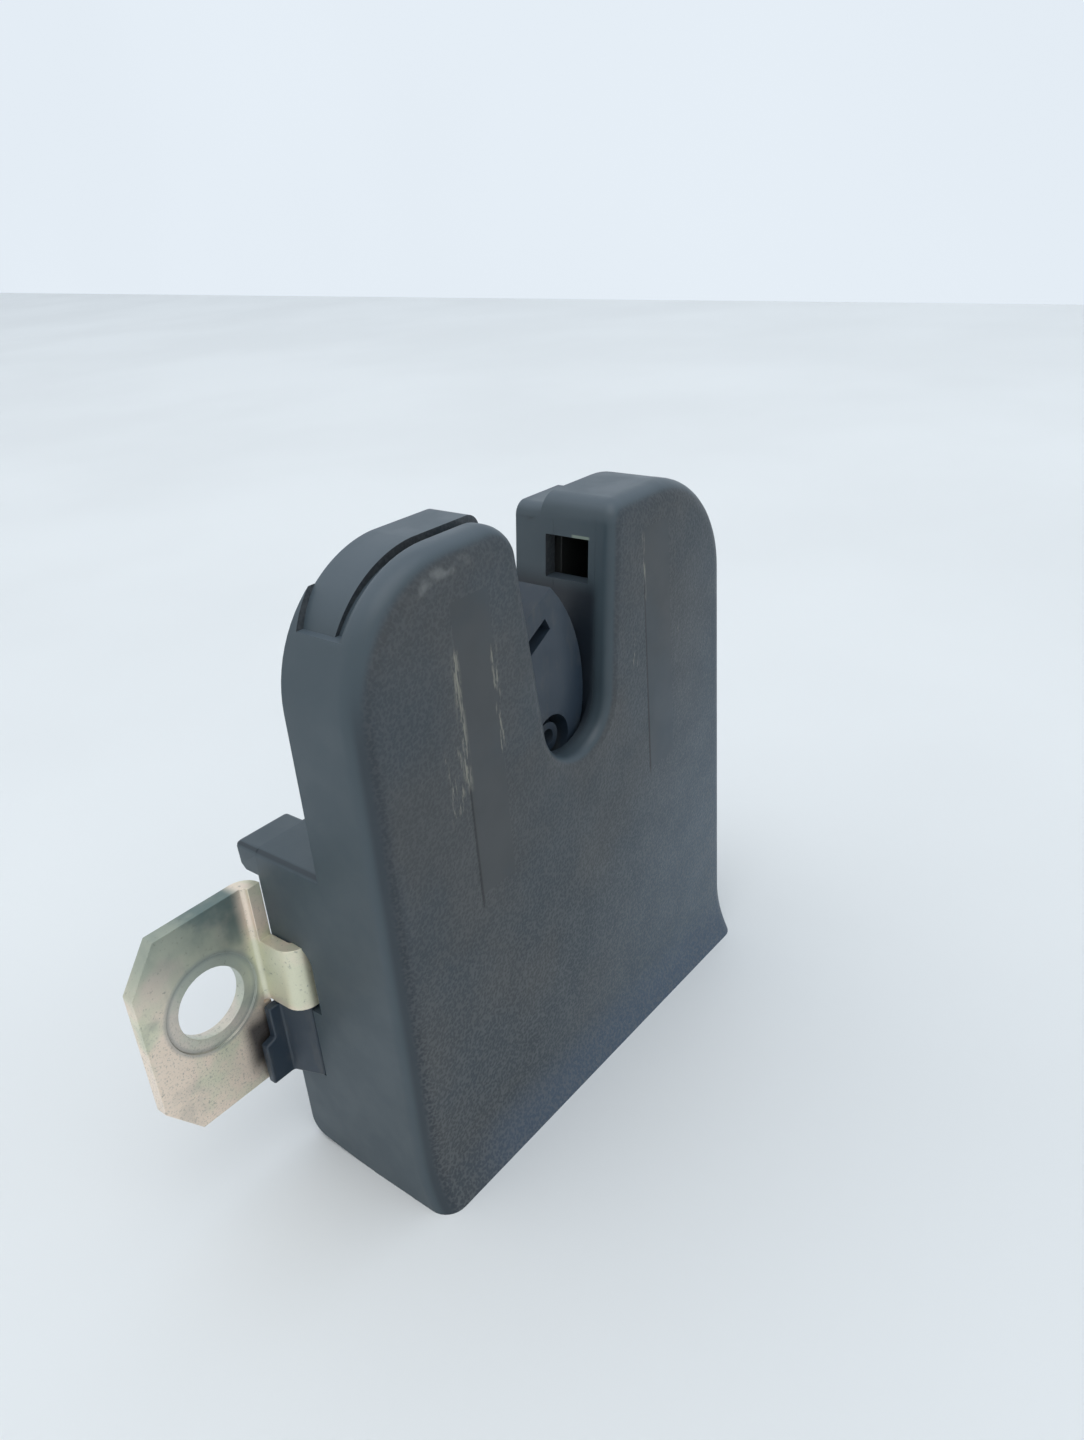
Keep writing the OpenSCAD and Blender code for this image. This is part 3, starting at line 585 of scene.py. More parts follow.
def zinc_plating(colours):
    """Yellow-passivated zinc: pinkish bloom partly painted as light, grey patina with a painted
    reflection, specks, scratches, coined rings with painted shade at their edges, and painted shade by
    the hooks and behind the window.
    """
    f = Finish("zinc_plating")
    x, y, z = f.split(f.place)
    side = f.math("ABSOLUTE", x)
    out = f.minus(side, EAR_HOLE)
    lean = f.minus(f.times(out, 0.6), z)
    # Pinkish bloom: random tone plus painted light that leans it towards each ear's lower outer part
    bloom = f.plus(f.noise(150, 3.0), f.ramp(lean, -6 * MM, 8 * MM, -0.12, 0.14))
    colour = f.mix(f.ramp(bloom, 0.38, 0.62), colours.zinc, colours.zinc_pink_and_painted_light)
    cloud = f.noise(130, 4.0, 0.6, f.stretched((1, 1, 1), (0.31, 0.17, 0.23)))
    # Painted reflection of the dark cover on each ear's upper inner part by the riser, broken by noise;
    # random grey patina patches are added below
    shade = f.times(
        f.ramp(lean, -13 * MM, 4 * MM, 1.0, 0.0),
        f.ramp(side, 36.6 * MM, 38.6 * MM),
        f.ramp(cloud, 0.3, 0.6, 0.7, 1.0),
    )
    shade = f.largest(shade, f.ramp(cloud, 0.52, 0.75, 0.0, 0.4))
    colour = f.mix(shade, colour, colours.zinc_grey_and_reflection)
    reach = f.distance(out, z)
    colour = f.mix(f.ramp(reach, 5.8 * MM, 6.4 * MM, 0.35, 0.0), colour, colours.zinc_coined)
    # Painted shade along the coined face's outer step
    ring = f.math("ABSOLUTE", f.minus(reach, 6.2 * MM))
    colour = f.mix(f.ramp(ring, 0.1 * MM, 0.7 * MM, 0.5, 0.0), colour, colours.coined_edge_shade)
    pepper = f.ramp(f.noise(3300, 2.0, 0.6), 0.53, 0.66)
    pepper = f.times(pepper, f.ramp(lean, -4 * MM, 8 * MM, 0.15, 1.0))
    colour = f.mix(f.times(pepper, 0.35), colour, colours.zinc_pepper)
    specks = f.ramp(f.noise(1900, 3.0, 0.6), 0.60, 0.74)
    colour = f.mix(f.times(specks, 0.5), colour, colours.zinc_specks)
    # Painted shade on each ear beside the housing's hook
    painted_hook_shade = f.times(
        f.ramp(side, 41.6 * MM, 39.4 * MM),
        f.ramp(z, -4.2 * MM, -7.5 * MM),
        f.ramp(z, -15.5 * MM, -11.5 * MM),
        f.ramp(y, -1.1 * MM, -1.5 * MM),
    )
    colour = f.mix(f.times(painted_hook_shade, 0.9), colour, colours.painted_shade)
    # Painted shade on the plate behind the cover's window
    painted_window_shade = f.times(
        f.between(x, 5.0, 17.0, 1.0), f.ramp(z, 35 * MM, 36 * MM), f.ramp(y, -8 * MM, -9 * MM)
    )
    colour = f.mix(f.times(painted_window_shade, 0.95), colour, colours.painted_shade)
    scratches = f.noise(1.0, 5.0, 0.65, f.stretched((2200, 900, 260)))
    rough = f.plus(f.ramp(f.noise(420, 3.0), 0.3, 0.7, 0.32, 0.46), f.times(pepper, 0.12))
    f.set(Base_Color=colour, Metallic=0.5, Roughness=rough)
    f.bump(f.plus(scratches, f.times(pepper, 0.5)), 0.2, 0.06 * MM)
    return f.material


def turned_steel(name, colour, low, high):
    """Bare steel with fine drawn lines and a little tarnish."""
    f = Finish(name)
    tarnish = f.ramp(f.noise(400, 4.0, 0.6), 0.45, 0.75)
    dark = tuple(c * 0.6 for c in colour)
    f.set(Base_Color=f.mix(f.times(tarnish, 0.6), colour, dark), Metallic=1.0)
    f.set(Roughness=f.ramp(f.noise(900, 3.0), 0.3, 0.7, low, high))
    f.bump(f.noise(1.0, 4.0, 0.6, f.stretched((900, 5200, 900))), 0.12, 0.03 * MM)
    return f.material


def matt_rubber(colours):
    """Matt black rubber with a dusty bloom."""
    f = Finish("matt_rubber")
    bloom = f.ramp(f.noise(500, 4.0, 0.6), 0.45, 0.8)
    colour = f.mix(f.times(bloom, 0.5), colours.rubber, colours.rubber_bloom)
    f.set(Base_Color=colour, Roughness=f.ramp(f.noise(800), 0.3, 0.7, 0.65, 0.85))
    f.bump(f.noise(3000, 3.0), 0.2, 0.05 * MM)
    return f.material


def natural_nylon(colours):
    """Milky nylon with slight clouding."""
    f = Finish("natural_nylon")
    cloud = f.ramp(f.noise(350, 3.0), 0.35, 0.7)
    f.set(Base_Color=f.mix(cloud, colours.nylon, colours.nylon_cloud))
    f.set(Roughness=f.ramp(f.noise(700), 0.3, 0.7, 0.38, 0.52))
    f.set(Subsurface_Weight=0.1, Subsurface_Scale=1 * MM)
    f.bump(f.noise(2400, 2.0), 0.08, 0.04 * MM)
    return f.material


def finish(name):
    """A finish by name, made on first use."""
    if name in bpy.data.materials:
        return bpy.data.materials[name]
    colours = bpy.context.scene.latch_finish
    makers = {
        "grained_black": lambda: grained_black(colours),
        "smooth_black": lambda: smooth_black(colours),
        "zinc_plating": lambda: zinc_plating(colours),
        "bright_steel": lambda: turned_steel("bright_steel", tuple(colours.steel), 0.24, 0.38),
        "spring_wire": lambda: turned_steel("spring_wire", tuple(colours.wire), 0.30, 0.42),
        "matt_rubber": lambda: matt_rubber(colours),
        "natural_nylon": lambda: natural_nylon(colours),
    }
    return makers[name]()


# Cover


class CoverShop:
    """Levels of the cover and the blocks that it is made from."""

    def __init__(self):
        s = bpy.context.scene.latch_cover
        self.s = s
        self.half = COVER_HIGH.x
        self.inner = self.half - s.wall
        self.floor = COVER_LOW.z
        self.top = COVER_HIGH.z
        self.face = COVER_LOW.y + s.lip_reach
        self.inside = self.face + s.wall
        self.upper = self.face + s.upper_depth
        self.lower = self.face + s.lower_depth
        self.rim = self.face + s.rim
        self.slot_rear = self.face + s.slot_depth
        self.slot_z = self.floor + s.slot_floor + s.slot_radius
        recess_start, shelf_gap = math.radians(33.5), 0.9 * MM
        self.recess_low = self.top - s.corner * (1 - math.sin(recess_start))
        self.shelf = self.floor + s.slot_floor - s.lining - shelf_gap

    def flank(self, z):
        """Half the slot's width at a height."""
        s = self.s
        return s.slot_radius / math.cos(s.slot_slope) + (z - self.slot_z) * math.tan(s.slot_slope)

    def lobes(self, name, inset, front, rear, bottom):
        """A block with the outline of both lobes, drawn in by inset."""
        s = self.s
        half, top = self.half - inset, self.top - inset
        block = add_block(name, (-half, front, bottom), (half, rear, top))
        for x in (-s.slot_radius / 2, s.slot_radius / 2):
            score(block, X, x)
        pick(block, "VERT", lambda v: v.co.x > HAIR and near(v.co.z, top))
        shift((0, 0, -s.right_drop))

        def outer_corner(edge):
            mid = middle(edge)
            return runs_along(edge, Y) and near(abs(mid.x), half) and mid.z > top - s.right_drop - HAIR

        pick(block, "EDGE", outer_corner)
        round_picked(s.corner - inset, 20)
        return block

    def slot(self, name, grow, front, rear):
        """The tapered U of the slot as a solid, grown by some thickness."""
        s = self.s
        radius = s.slot_radius + grow
        fresh()
        bpy.ops.mesh.primitive_circle_add(
            vertices=120, radius=radius, location=(0, front, self.slot_z), rotation=(math.pi / 2, 0, 0)
        )
        tool = settle(name)
        tangent = self.slot_z - radius * math.sin(s.slot_slope)
        pick(tool, "VERT", lambda v: v.co.z > tangent + HAIR)
        bpy.ops.mesh.delete(type="VERT")
        run = self.top + 8 * PAST - self.slot_z

        def flank_start(vert):
            return len(vert.link_edges) == 1 and vert.co.x * side > 0 and vert.co.z < self.slot_z

        for side in (-1, 1):
            pick(tool, "VERT", flank_start)
            bpy.ops.mesh.extrude_region_move(
                TRANSFORM_OT_translate={"value": (side * run * math.tan(s.slot_slope), 0, run)}
            )
        bpy.ops.mesh.select_all(action="SELECT")
        bpy.ops.mesh.edge_face_add()
        bpy.ops.mesh.extrude_region_move(TRANSFORM_OT_translate={"value": (0, rear - front, 0)})
        bpy.ops.mesh.select_all(action="SELECT")
        bpy.ops.mesh.normals_make_consistent(inside=False)
        leave_edit()
        return tool

    def round_mouth(self, block, *corners):
        """Rounds the lobes' corners beside the slot, each given by its side, height and radius."""
        share = math.tan(math.radians(45) + self.s.slot_slope / 2)

        def at_mouth(edge):
            mid = middle(edge)
            beside = 0 < mid.x * side < self.flank(top) + PAST
            return runs_along(edge, Y) and near(mid.z, top) and beside

        for side, top, radius in corners:
            pick(block, "EDGE", at_mouth)
            round_picked(radius / share, 12)

    def front_layer(self):
        """The face and the rims, with the slot through them and all front edges rounded."""
        s = self.s
        right_top = self.top - s.right_drop
        layer = self.lobes("cover", 0, self.face, self.rim, self.floor)
        carve(layer, self.slot("slot_tool", 0, self.face - 2 * PAST, self.rim + 2 * PAST))
        clean(layer)
        self.round_mouth(layer, (-1, self.top, s.mouth_left), (1, right_top, s.mouth_right))
        weights = layer.data.attributes.new("bevel_weight_edge", "FLOAT", "EDGE")
        slot_share, rim_share = s.slot_round / s.edge_round, 0.36
        for edge in layer.data.edges:
            a, b = (layer.data.vertices[i].co for i in edge.vertices)
            mid = (a + b) / 2
            if near(a.y, self.face) and near(b.y, self.face) and mid.z > self.floor + HAIR:
                fade = 0.8 * (s.mouth_left if mid.x < 0 else s.mouth_right)
                wide = self.flank(max(mid.z, self.slot_z - s.slot_radius))
                away = min(max((abs(mid.x) - wide) / fade, 0.0), 1.0)
                weights.data[edge.index].value = slot_share + (1 - slot_share) * away
            elif near(a.y, self.rim) and near(b.y, self.rim) and mid.x < 0 and mid.z > self.recess_low:
                weights.data[edge.index].value = rim_share
        only(layer)
        rounding = layer.modifiers.new("front_edges", "BEVEL")
        rounding.width = s.edge_round
        rounding.segments = 8
        rounding.limit_method = "WEIGHT"
        rounding.use_clamp_overlap = False
        bpy.ops.object.modifier_apply(modifier=rounding.name)
        self.sink_strips(layer)
        rows = 8
        for k in range(1, rows + 1):
            score(layer, Z, self.floor + s.lip_height * k / rows)
        flared = self.face + s.edge_round + HAIR
        for k in range(rows):
            height = self.floor + s.lip_height * k / rows
            pick(layer, "VERT", lambda v: near(v.co.z, height) and v.co.y < flared)
            shift((0, -s.lip_reach * (1 - k / rows) ** 2, 0))
        leave_edit()
        return layer

    def sink_strips(self, layer):
        """Sinks the two smooth strips of the face, deepest along their left edges."""
        step = self.s.strip_step
        low = STRIP_LOW * MM

        def on_strip(face):
            mid = face.calc_center_median()
            return face.normal.y < -0.99 and left < mid.x < right and low < mid.z < high

        def shallow_end(vert):
            sunk = abs(vert.co.y - self.face - step) < 0.1 * step
            return sunk and (near(vert.co.x, right) or near(vert.co.z, low))

        for edge, top in STRIPS:
            left, right, high = edge * MM, (edge + STRIP_WIDTH) * MM, top * MM
            for x in (left, right):
                score(layer, X, x)
            for z in (low, high):
                score(layer, Z, z)
            pick(layer, "FACE", on_strip)
            bpy.ops.mesh.extrude_region_move(TRANSFORM_OT_translate={"value": (0, step, 0)})
            pick(layer, "VERT", shallow_end)
            shift((0, -step, 0))
        edit_all(layer)
        bpy.ops.mesh.remove_doubles(threshold=TINY)
        leave_edit()

    def rear_layer(self):
        """The upper walls behind the rims, with a groove and a shallow recess over the left lobe."""
        s = self.s
        start, low, high = self.rim - 1.5 * MM, self.recess_low, self.top + PAST
        out, slot_front, slot_rear = -self.half - PAST, self.face - 2 * PAST, self.upper + 2 * PAST
        groove_width, recess_depth, recess_rear, recess_slant = 1.1 * MM, 0.95 * MM, 1.1 * MM, 2.4 * MM
        layer = self.lobes("rear_layer", HAIR, start, self.upper, self.floor + HAIR)
        carve(layer, self.slot("slot_tool", -HAIR, slot_front, slot_rear))
        groove = add_block("groove", (out, start - PAST, low), (-3 * MM, self.rim + groove_width, high))
        floor = self.lobes("groove_floor", s.groove, start - 2 * PAST, self.upper, self.floor)
        carve(floor, self.slot("slot_tool", -3 * HAIR, slot_front, slot_rear))
        self.round_mouth(floor, (-1, self.top - s.groove, s.mouth_left + 1 * MM))
        carve(groove, floor)
        carve(layer, groove)
        hub_x, hub_z = s.corner - self.half + recess_depth, self.top - s.corner
        recess = add_block("recess", (out, start, low), (hub_x, self.upper - recess_rear, high))
        pick(recess, "VERT", lambda v: v.co.y > self.rim and v.co.z > low + HAIR)
        shift((0, recess_slant, 0))
        ends = (start - PAST, self.upper + 4 * PAST)
        carve(recess, add_round("recess_floor", hub_x, hub_z, s.corner, *ends, 160))
        carve(layer, recess)
        top = self.top - HAIR
        self.round_mouth(layer, (-1, top, s.mouth_rear), (1, top - s.right_drop, s.mouth_right))
        return layer

    def body(self):
        """The deeper lower half with its shelf, heel and rear lugs."""
        half, floor = self.half - 2 * HAIR, self.floor + 2 * HAIR
        overlap, heel, edge_round = 0.5 * MM, 3 * MM, 0.9 * MM
        lug_width, lug_height, lug_reach = 8 * MM, 3.6 * MM, 2.9 * MM
        lug_cut, lug_round = 1.3 * MM, 0.7 * MM
        front = self.upper - overlap
        body = add_block("lower_body", (-half, front, floor), (half, self.lower, self.shelf))

        def at_heel(edge):
            mid = middle(edge)
            return runs_along(edge, X) and near(mid.y, self.lower) and near(mid.z, floor)

        pick(body, "EDGE", at_heel)
        round_picked(heel, 8)

        def on_edge(edge):
            """Whether an edge is on the shelf's rim or runs down a side's rear and round the heel."""
            mid = middle(edge)
            if near(mid.z, self.shelf):
                return runs_along(edge, Y) or near(mid.y, self.lower)
            behind = mid.y > self.lower - heel + HAIR and mid.z > floor + HAIR
            return behind and near(abs(mid.x), half)

        pick(body, "EDGE", on_edge)
        round_picked(edge_round, 4)
        rear, lug_low, lug_top = self.lower + lug_reach, self.shelf - lug_height, self.shelf - HAIR

        def under_lug(edge):
            return runs_along(edge, X) and near(middle(edge).y, rear) and near(middle(edge).z, lug_low)

        def round_lug(edge):
            mid = middle(edge)
            return near(mid.y, rear) or (runs_along(edge, Y) and near(mid.z, lug_top))

        for side in (-1, 1):
            ends = sorted((side * (half - lug_width), side * (half - HAIR)))
            lug = add_block("lug", (ends[0], self.lower - 1 * MM, lug_low), (ends[1], rear, lug_top))
            pick(lug, "EDGE", under_lug)
            round_picked(lug_cut, 1)
            pick(lug, "EDGE", round_lug)
            round_picked(lug_round, 3)
            join_on(body, lug)
        return body

    def hollow(self, cover):
        """Opens the inside and adds the slot's lining behind the upper walls."""
        s = self.s
        below, slot_rear = self.floor - PAST, self.slot_rear + 3 * PAST
        room = self.lobes("room", s.wall, self.inside, self.upper + PAST, below)
        carve(room, self.slot("lining_tool", s.lining, self.face, self.upper + 3 * PAST))
        carve(cover, room)
        corner = (self.inner, self.lower + PAST, self.shelf - s.wall)
        carve(cover, add_block("rear_room", (-self.inner, self.upper - PAST, below), corner))
        sunk, cap, guide_wall, pocket_depth = 1.3 * MM, 0.8 * MM, 1.5 * MM, 2.6 * MM
        left_top, right_top = self.top - sunk, self.top - s.right_drop - sunk
        guide_in, guide_front, guide_low = 4 * MM, PANEL_REAR + 0.1 * MM, self.slot_z + 10.5 * MM
        guide_end, guide_rear = 17.5 * MM, self.slot_rear + 1.2 * MM
        corner = (guide_end, guide_rear, right_top)
        guide = add_block("guide", (guide_in, guide_front, guide_low), corner)
        pocket_in = self.flank(self.top) + guide_wall
        pocket = add_block(
            "pocket",
            (pocket_in, guide_rear - pocket_depth, guide_low + guide_wall),
            (guide_end - guide_wall, guide_rear + PAST, right_top - guide_wall),
        )
        carve(guide, pocket)
        corner = (guide_end, self.upper + 1 * MM, right_top)
        join_on(guide, add_block("cap", (guide_in, self.upper - 1 * MM, right_top - cap), corner))
        lining_low = self.slot_z - s.slot_radius - 3 * MM
        lining = self.lobes("lining", sunk, self.upper - 2 * MM, self.slot_rear, lining_low)
        carve(lining, self.slot("lining_outer", s.lining + 2 * HAIR, self.face, slot_rear), "INTERSECT")
        join_on(lining, guide)
        carve(lining, self.slot("lining_inner", -2 * HAIR, self.face, slot_rear))
        self.round_mouth(lining, (-1, left_top, s.mouth_rear), (1, right_top, s.mouth_rear))
        join_on(cover, lining)

    def fittings(self, cover):
        """Screw bosses, the pawl spring's peg, the window, the notches and the catch's room."""
        s = self.s
        low = (self.half - 8.5 * MM, self.floor + 4.6 * MM)
        high = (self.half - 13.5 * MM, self.top - s.right_drop - 12.4 * MM)
        boss_radius, hole_radius, hole_depth = 3.6 * MM, 1.5 * MM, 6 * MM
        rooted = self.inside - 0.5 * MM
        for x, z in (low, (-low[0], low[1]), high):
            boss = add_round("boss", x, z, boss_radius, rooted, PANEL_FRONT)
            ends = (PANEL_FRONT - hole_depth, PANEL_FRONT + PAST)
            carve(boss, add_round("screw_hole", x, z, hole_radius, *ends, 32))
            join_on(cover, boss)
        peg_x, peg_z, peg_radius, peg_end = 20.57 * MM, -3.81 * MM, 1.5 * MM, -19 * MM
        join_on(cover, add_round("spring_peg", peg_x, peg_z, peg_radius, rooted, peg_end, 32))
        self.catch_room(cover)
        window_front, window_rear = self.face + 3.8 * MM, self.face + 10.4 * MM
        window_low, window_high = self.slot_z + 12.8 * MM, self.slot_z + 18.2 * MM
        corner = (s.slot_radius + 6 * MM, window_rear, window_high)
        carve(cover, add_block("window", (s.slot_radius, window_front, window_low), corner))
        self.side_notches(cover)

    def catch_room(self, cover):
        """Clears the room that the catch turns in, to the right of its pivot."""
        pivot_x, pivot_z, reach, front, rear = -13.8 * MM, 27 * MM, 20.2 * MM, -21.4 * MM, -15.1 * MM
        room = add_round("catch_room", pivot_x, pivot_z, reach, front, rear, 128)
        far = reach + PAST
        corner = (pivot_x, rear + PAST, pivot_z + far)
        carve(room, add_block("left_half", (pivot_x - far, front - PAST, pivot_z - far), corner))
        carve(cover, room)

    def side_notches(self, cover):
        """Opens each side wall's rear edge for the plate's arm and, below it, the housing's hook."""
        arm_front, arm_low, arm_high, arm_round = -9.3 * MM, -4.9 * MM, 4.8 * MM, 2.6 * MM
        slope_start, slope_end, slope_drop = -5.9 * MM, -3 * MM, 4.4 * MM
        hook_front, hook_low, hook_high = -7.6 * MM, -15.6 * MM, -4.8 * MM
        rear = self.lower + PAST

        def front_top(edge):
            mid = middle(edge)
            return runs_along(edge, X) and mid.z > 0 and near(mid.y, arm_front)

        arms, hooks = [], []
        for side in (-1, 1):
            ends = sorted((side * (self.inner - PAST), side * (self.half + PAST)))
            arm = add_block("arm_notch", (ends[0], arm_front, arm_low), (ends[1], rear, arm_high))
            for y in (slope_start, slope_end):
                score(arm, Y, y)
            pick(arm, "VERT", lambda v: v.co.z > 0 and v.co.y > slope_end - HAIR)
            shift((0, 0, -slope_drop))
            pick(arm, "EDGE", front_top)
            round_picked(arm_round, 8)
            arms.append(arm)
            hook = add_block("hook_notch", (ends[0], hook_front, hook_low), (ends[1], rear, hook_high))
            hooks.append(hook)
        carve(cover, as_one(*arms))
        carve(cover, as_one(*hooks))


class LATCH_OT_cover(bpy.types.Operator):
    """Models the moulded cover from blocks and gives it its grained finish"""

    bl_idname = "latch.cover"
    bl_label = "Cover"

    def execute(self, context):
        shop = CoverShop()
        cover = shop.front_layer()
        join_on(cover, shop.rear_layer())
        join_on(cover, shop.body())
        shop.hollow(cover)
        shop.fittings(cover)
        clean(cover)
        shade(cover, 32)
        hand_over(cover, "frame", "front_cover", "grained_black")
        return {"FINISHED"}


class LATCH_OT_plate(bpy.types.Operator):
    """Dresses the bent base plate with its ears in zinc"""

    bl_idname = "latch.plate"
    bl_label = "Base plate"

    def execute(self, context):
        dress("base_plate", "frame", "zinc_plating", 0.3, 3)
        return {"FINISHED"}


class LATCH_OT_housing(bpy.types.Operator):
    """Dresses the rear housing with its side hooks"""

    bl_idname = "latch.housing"
    bl_label = "Rear housing"

    def execute(self, context):
        dress("rear_housing", "frame", "smooth_black", 0.25, trim=self.trim_hooks)
        return {"FINISHED"}

    def trim_hooks(self, housing):
        """Cuts each side hook down to a ramped block in the notch and a thin low tab behind it."""
        box_low, box_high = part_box("rear_housing")
        front, rear, outside = box_low.y - PAST, box_high.y + PAST, box_high.x + PAST
        below, above = -18 * MM, -4 * MM
        flush, ramp_end, ramp_front = COVER_HIGH.x + 0.05 * MM, 36.05 * MM, -7.6 * MM
        foot_in, foot_drop, rib_end = COVER_HIGH.x - 3.6 * MM, 1 * MM, 37.7 * MM
        tab_front, tab_end = -3.4 * MM, 39.2 * MM
        tab_low, tab_high, tab_rise = -14.5 * MM, -9.9 * MM, 0.8 * MM

        def cut(inner, low, high, corner=None, step=(0, 0)):
            """Cuts a block from each side, with the inner corners that pass a test moved out and up."""
            blocks = []
            for side in (-1, 1):
                ends = sorted((side * inner, side * outside))
                block = add_block("hook_cut", (ends[0], *low), (ends[1], *high))
                if corner:
                    pick(block, "VERT", lambda v: near(v.co.x, side * inner) and corner(v.co))
                    shift((side * step[0], 0, step[1]))
                blocks.append(block)
            carve(housing, as_one(*blocks))

        ramp = (ramp_end - flush, 0)
        cut(flush, (ramp_front, below), (tab_front, above), lambda p: near(p.y, tab_front), ramp)
        cut(foot_in, (front, below), (rear, tab_low))
        rise = (0, tab_rise)
        cut(rib_end, (tab_front - PAST, tab_high), (rear, above), lambda p: near(p.z, tab_high), rise)
        cut(tab_end, (front, below), (rear, above))
        clean(housing, 0.5)
        pick(housing, "VERT", lambda v: abs(v.co.x) > foot_in - HAIR and near(v.co.z, tab_low))
        shift((0, 0, -foot_drop))
        leave_edit()


class LATCH_OT_catch(bpy.types.Operator):
    """Dresses the rotary catch"""

    bl_idname = "latch.catch"
    bl_label = "Catch"

    def execute(self, context):
        dress("catch", "catch", "smooth_black", 0.3)
        return {"FINISHED"}


class LATCH_OT_fasteners(bpy.types.Operator):
    """Dresses the screws, pegs and pivots"""

    bl_idname = "latch.fasteners"
    bl_label = "Screws, pegs and pivots"

    def execute(self, context):
        pivots = ("catch_pivot", "pawl_pivot", "lever_pivot", "lever_washer")
        for node in ("plate_screws", "spring_pegs", "stop_peg", *pivots):
            dress(node, "frame", "bright_steel", 0.15)
        dress("lever_ring", "frame", "spring_wire", 0.1)
        return {"FINISHED"}


class LATCH_OT_springs(bpy.types.Operator):
    """Dresses the three wire springs"""

    bl_idname = "latch.springs"
    bl_label = "Springs"

    def execute(self, context):
        for node, front_leg, rear_leg in (
            ("catch_spring", "catch", "frame"),
            ("pawl_spring", "frame", "pawl"),
            ("lever_spring", "lever", "frame"),
        ):
            spring = dress(node, None, "spring_wire", 0)
            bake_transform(spring)
        return {"FINISHED"}


class LATCH_OT_release(bpy.types.Operator):
    """Dresses the pawl, its stud, the release lever and the rod clip"""

    bl_idname = "latch.release"
    bl_label = "Pawl and release"

    def execute(self, context):
        dress("pawl", "pawl", "bright_steel", 0.2)
        dress("pawl_stud", "pawl", "bright_steel", 0.2)
        dress("release_lever", "lever", "zinc_plating", 0.25)
        dress("rod_clip", "lever", "natural_nylon", 0.2)
        return {"FINISHED"}


class LATCH_OT_rubber(bpy.types.Operator):
    """Dresses the rubber stop and the striker's buffer"""

    bl_idname = "latch.rubber"
    bl_label = "Rubber"

    def execute(self, context):
        for node in ("catch_stop", "striker_buffer"):
            dress(node, "frame", "matt_rubber", 0.2)
        return {"FINISHED"}


# Axes, place in millimetres and focal length of the photograph's camera
CAMERA_AXES = ((0.618, -0.783, -0.072), (0.39, 0.227, 0.892), (-0.682, -0.58, 0.445))
CAMERA_PLACE = (-93.95, -98.4, 83.7)
CAMERA_LENS = 27.27


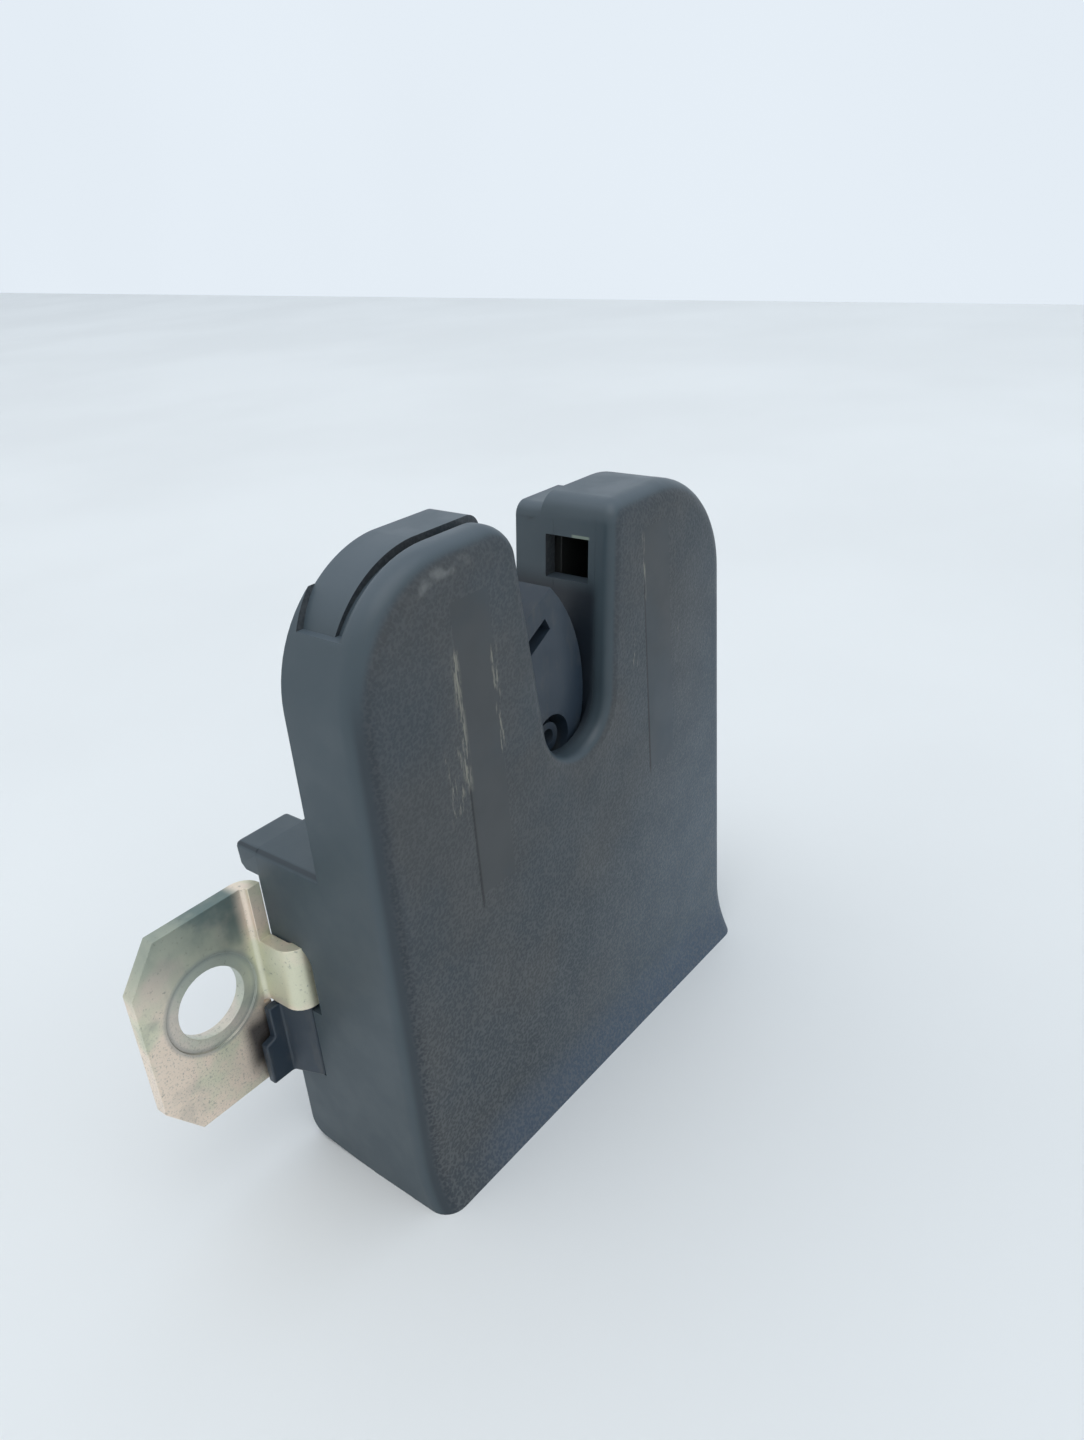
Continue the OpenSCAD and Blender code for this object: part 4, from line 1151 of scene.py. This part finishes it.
class LATCH_OT_stage(bpy.types.Operator):
    """Adds the floor, the backdrop, the light and the camera"""

    bl_idname = "latch.stage"
    bl_label = "Stage"

    def execute(self, context):
        scene = context.scene
        s = scene.latch_stage
        scene.view_settings.view_transform = "Standard"
        ground, spread = COVER_LOW.z, 6
        wall_x, wall_y, wall_turn = 0.835, 0.646, math.radians(87.3)

        fresh()
        bpy.ops.mesh.primitive_plane_add(size=spread, location=(0, 0, ground))
        floor = settle("floor")
        floor.data.materials.append(self.floor_finish(s))
        fresh()
        bpy.ops.mesh.primitive_plane_add(
            size=spread,
            location=(wall_x, wall_y, ground + spread / 2),
            rotation=(math.pi / 2, 0, wall_turn),
        )
        backdrop = settle("backdrop")
        backdrop.data.materials.append(self.backdrop_finish(s))

        world = bpy.data.worlds.new("even_light")
        world.use_nodes = True
        sky = world.node_tree.nodes["Background"]
        cool_white = (0.93, 0.98, 1.03, 1.0)
        sky.inputs["Color"].default_value = cool_white
        sky.inputs["Strength"].default_value = s.sky
        scene.world = world
        self.key_light(s.key_power)

        camera = bpy.data.objects.new("camera", bpy.data.cameras.new("camera"))
        scene.collection.objects.link(camera)
        place = Matrix([Vector(axis).normalized() for axis in CAMERA_AXES]).transposed().to_4x4()
        place.translation = Vector(CAMERA_PLACE) * MM
        camera.matrix_world = place
        camera.data.lens = CAMERA_LENS
        camera.data.sensor_width = 36
        camera.data.clip_start = 0.005
        camera.data.clip_end = 20
        scene.camera = camera
        return {"FINISHED"}

    def key_light(self, power):
        """A large lamp above and in front, turned to the latch."""
        lamp = bpy.data.lights.new("key", "AREA")
        lamp.size = 1.4
        lamp.energy = power
        obj = bpy.data.objects.new("key", lamp)
        bpy.context.scene.collection.objects.link(obj)
        obj.location = (-0.2, -0.3, 1.7)
        obj.rotation_euler = (-obj.location).to_track_quat("-Z", "Y").to_euler()

    def floor_finish(self, s):
        f = Finish("pale_floor")
        cloud = f.ramp(f.noise(6, 3.0), 0.3, 0.7)
        colour = f.mix(cloud, s.floor, tuple(c * 0.95 for c in s.floor))
        f.set(Base_Color=colour, Roughness=0.55)
        return f.material

    def backdrop_finish(self, s):
        f = Finish("pale_backdrop")
        cloud = f.ramp(f.noise(2, 2.0), 0.3, 0.7)
        colour = f.mix(cloud, s.backdrop, tuple(c * 0.98 for c in s.backdrop))
        f.set(Base_Color=colour, Roughness=0.8)
        glow = f.add("Emission", {"Color": colour})
        path = f.add("LightPath", {})
        rays = ("Is Camera Ray", "Is Glossy Ray", "Is Transmission Ray")
        seen = f.largest(*(path.outputs[ray] for ray in rays))
        blend = f.add("MixShader", {0: seen, 1: f.shader.outputs[0], 2: glow.outputs[0]})
        f.feed(f.tree.nodes["Material Output"].inputs["Surface"], blend.outputs[0])
        return f.material


STEPS = (
    LATCH_OT_cover,
    LATCH_OT_plate,
    LATCH_OT_housing,
    LATCH_OT_catch,
    LATCH_OT_fasteners,
    LATCH_OT_springs,
    LATCH_OT_release,
    LATCH_OT_rubber,
    LATCH_OT_stage,
)


class LATCH_PT_sidebar(bpy.types.Panel):
    """Lists the pieces of the latch"""

    bl_idname = "LATCH_PT_sidebar"
    bl_label = "Boot Latch"
    bl_space_type = "VIEW_3D"
    bl_region_type = "UI"
    bl_category = "Boot Latch"

    def draw(self, context):
        for step in STEPS:
            self.layout.operator(step.bl_idname)


GROUPS = {"latch_cover": CoverSizes, "latch_finish": FinishColours, "latch_stage": StageSettings}


def register():
    for cls in (*GROUPS.values(), *STEPS, LATCH_PT_sidebar):
        bpy.utils.register_class(cls)
    for name, group in GROUPS.items():
        setattr(bpy.types.Scene, name, PointerProperty(type=group))


def unregister():
    for name in GROUPS:
        delattr(bpy.types.Scene, name)
    for cls in (LATCH_PT_sidebar, *reversed(STEPS), *GROUPS.values()):
        bpy.utils.unregister_class(cls)


def main():
    register()
    bpy.ops.latch.cover()
    bpy.ops.latch.plate()
    bpy.ops.latch.housing()
    bpy.ops.latch.catch()
    bpy.ops.latch.fasteners()
    bpy.ops.latch.springs()
    bpy.ops.latch.release()
    bpy.ops.latch.rubber()
    bpy.ops.latch.stage()
    fresh()


if __name__ == "__main__":
    main()
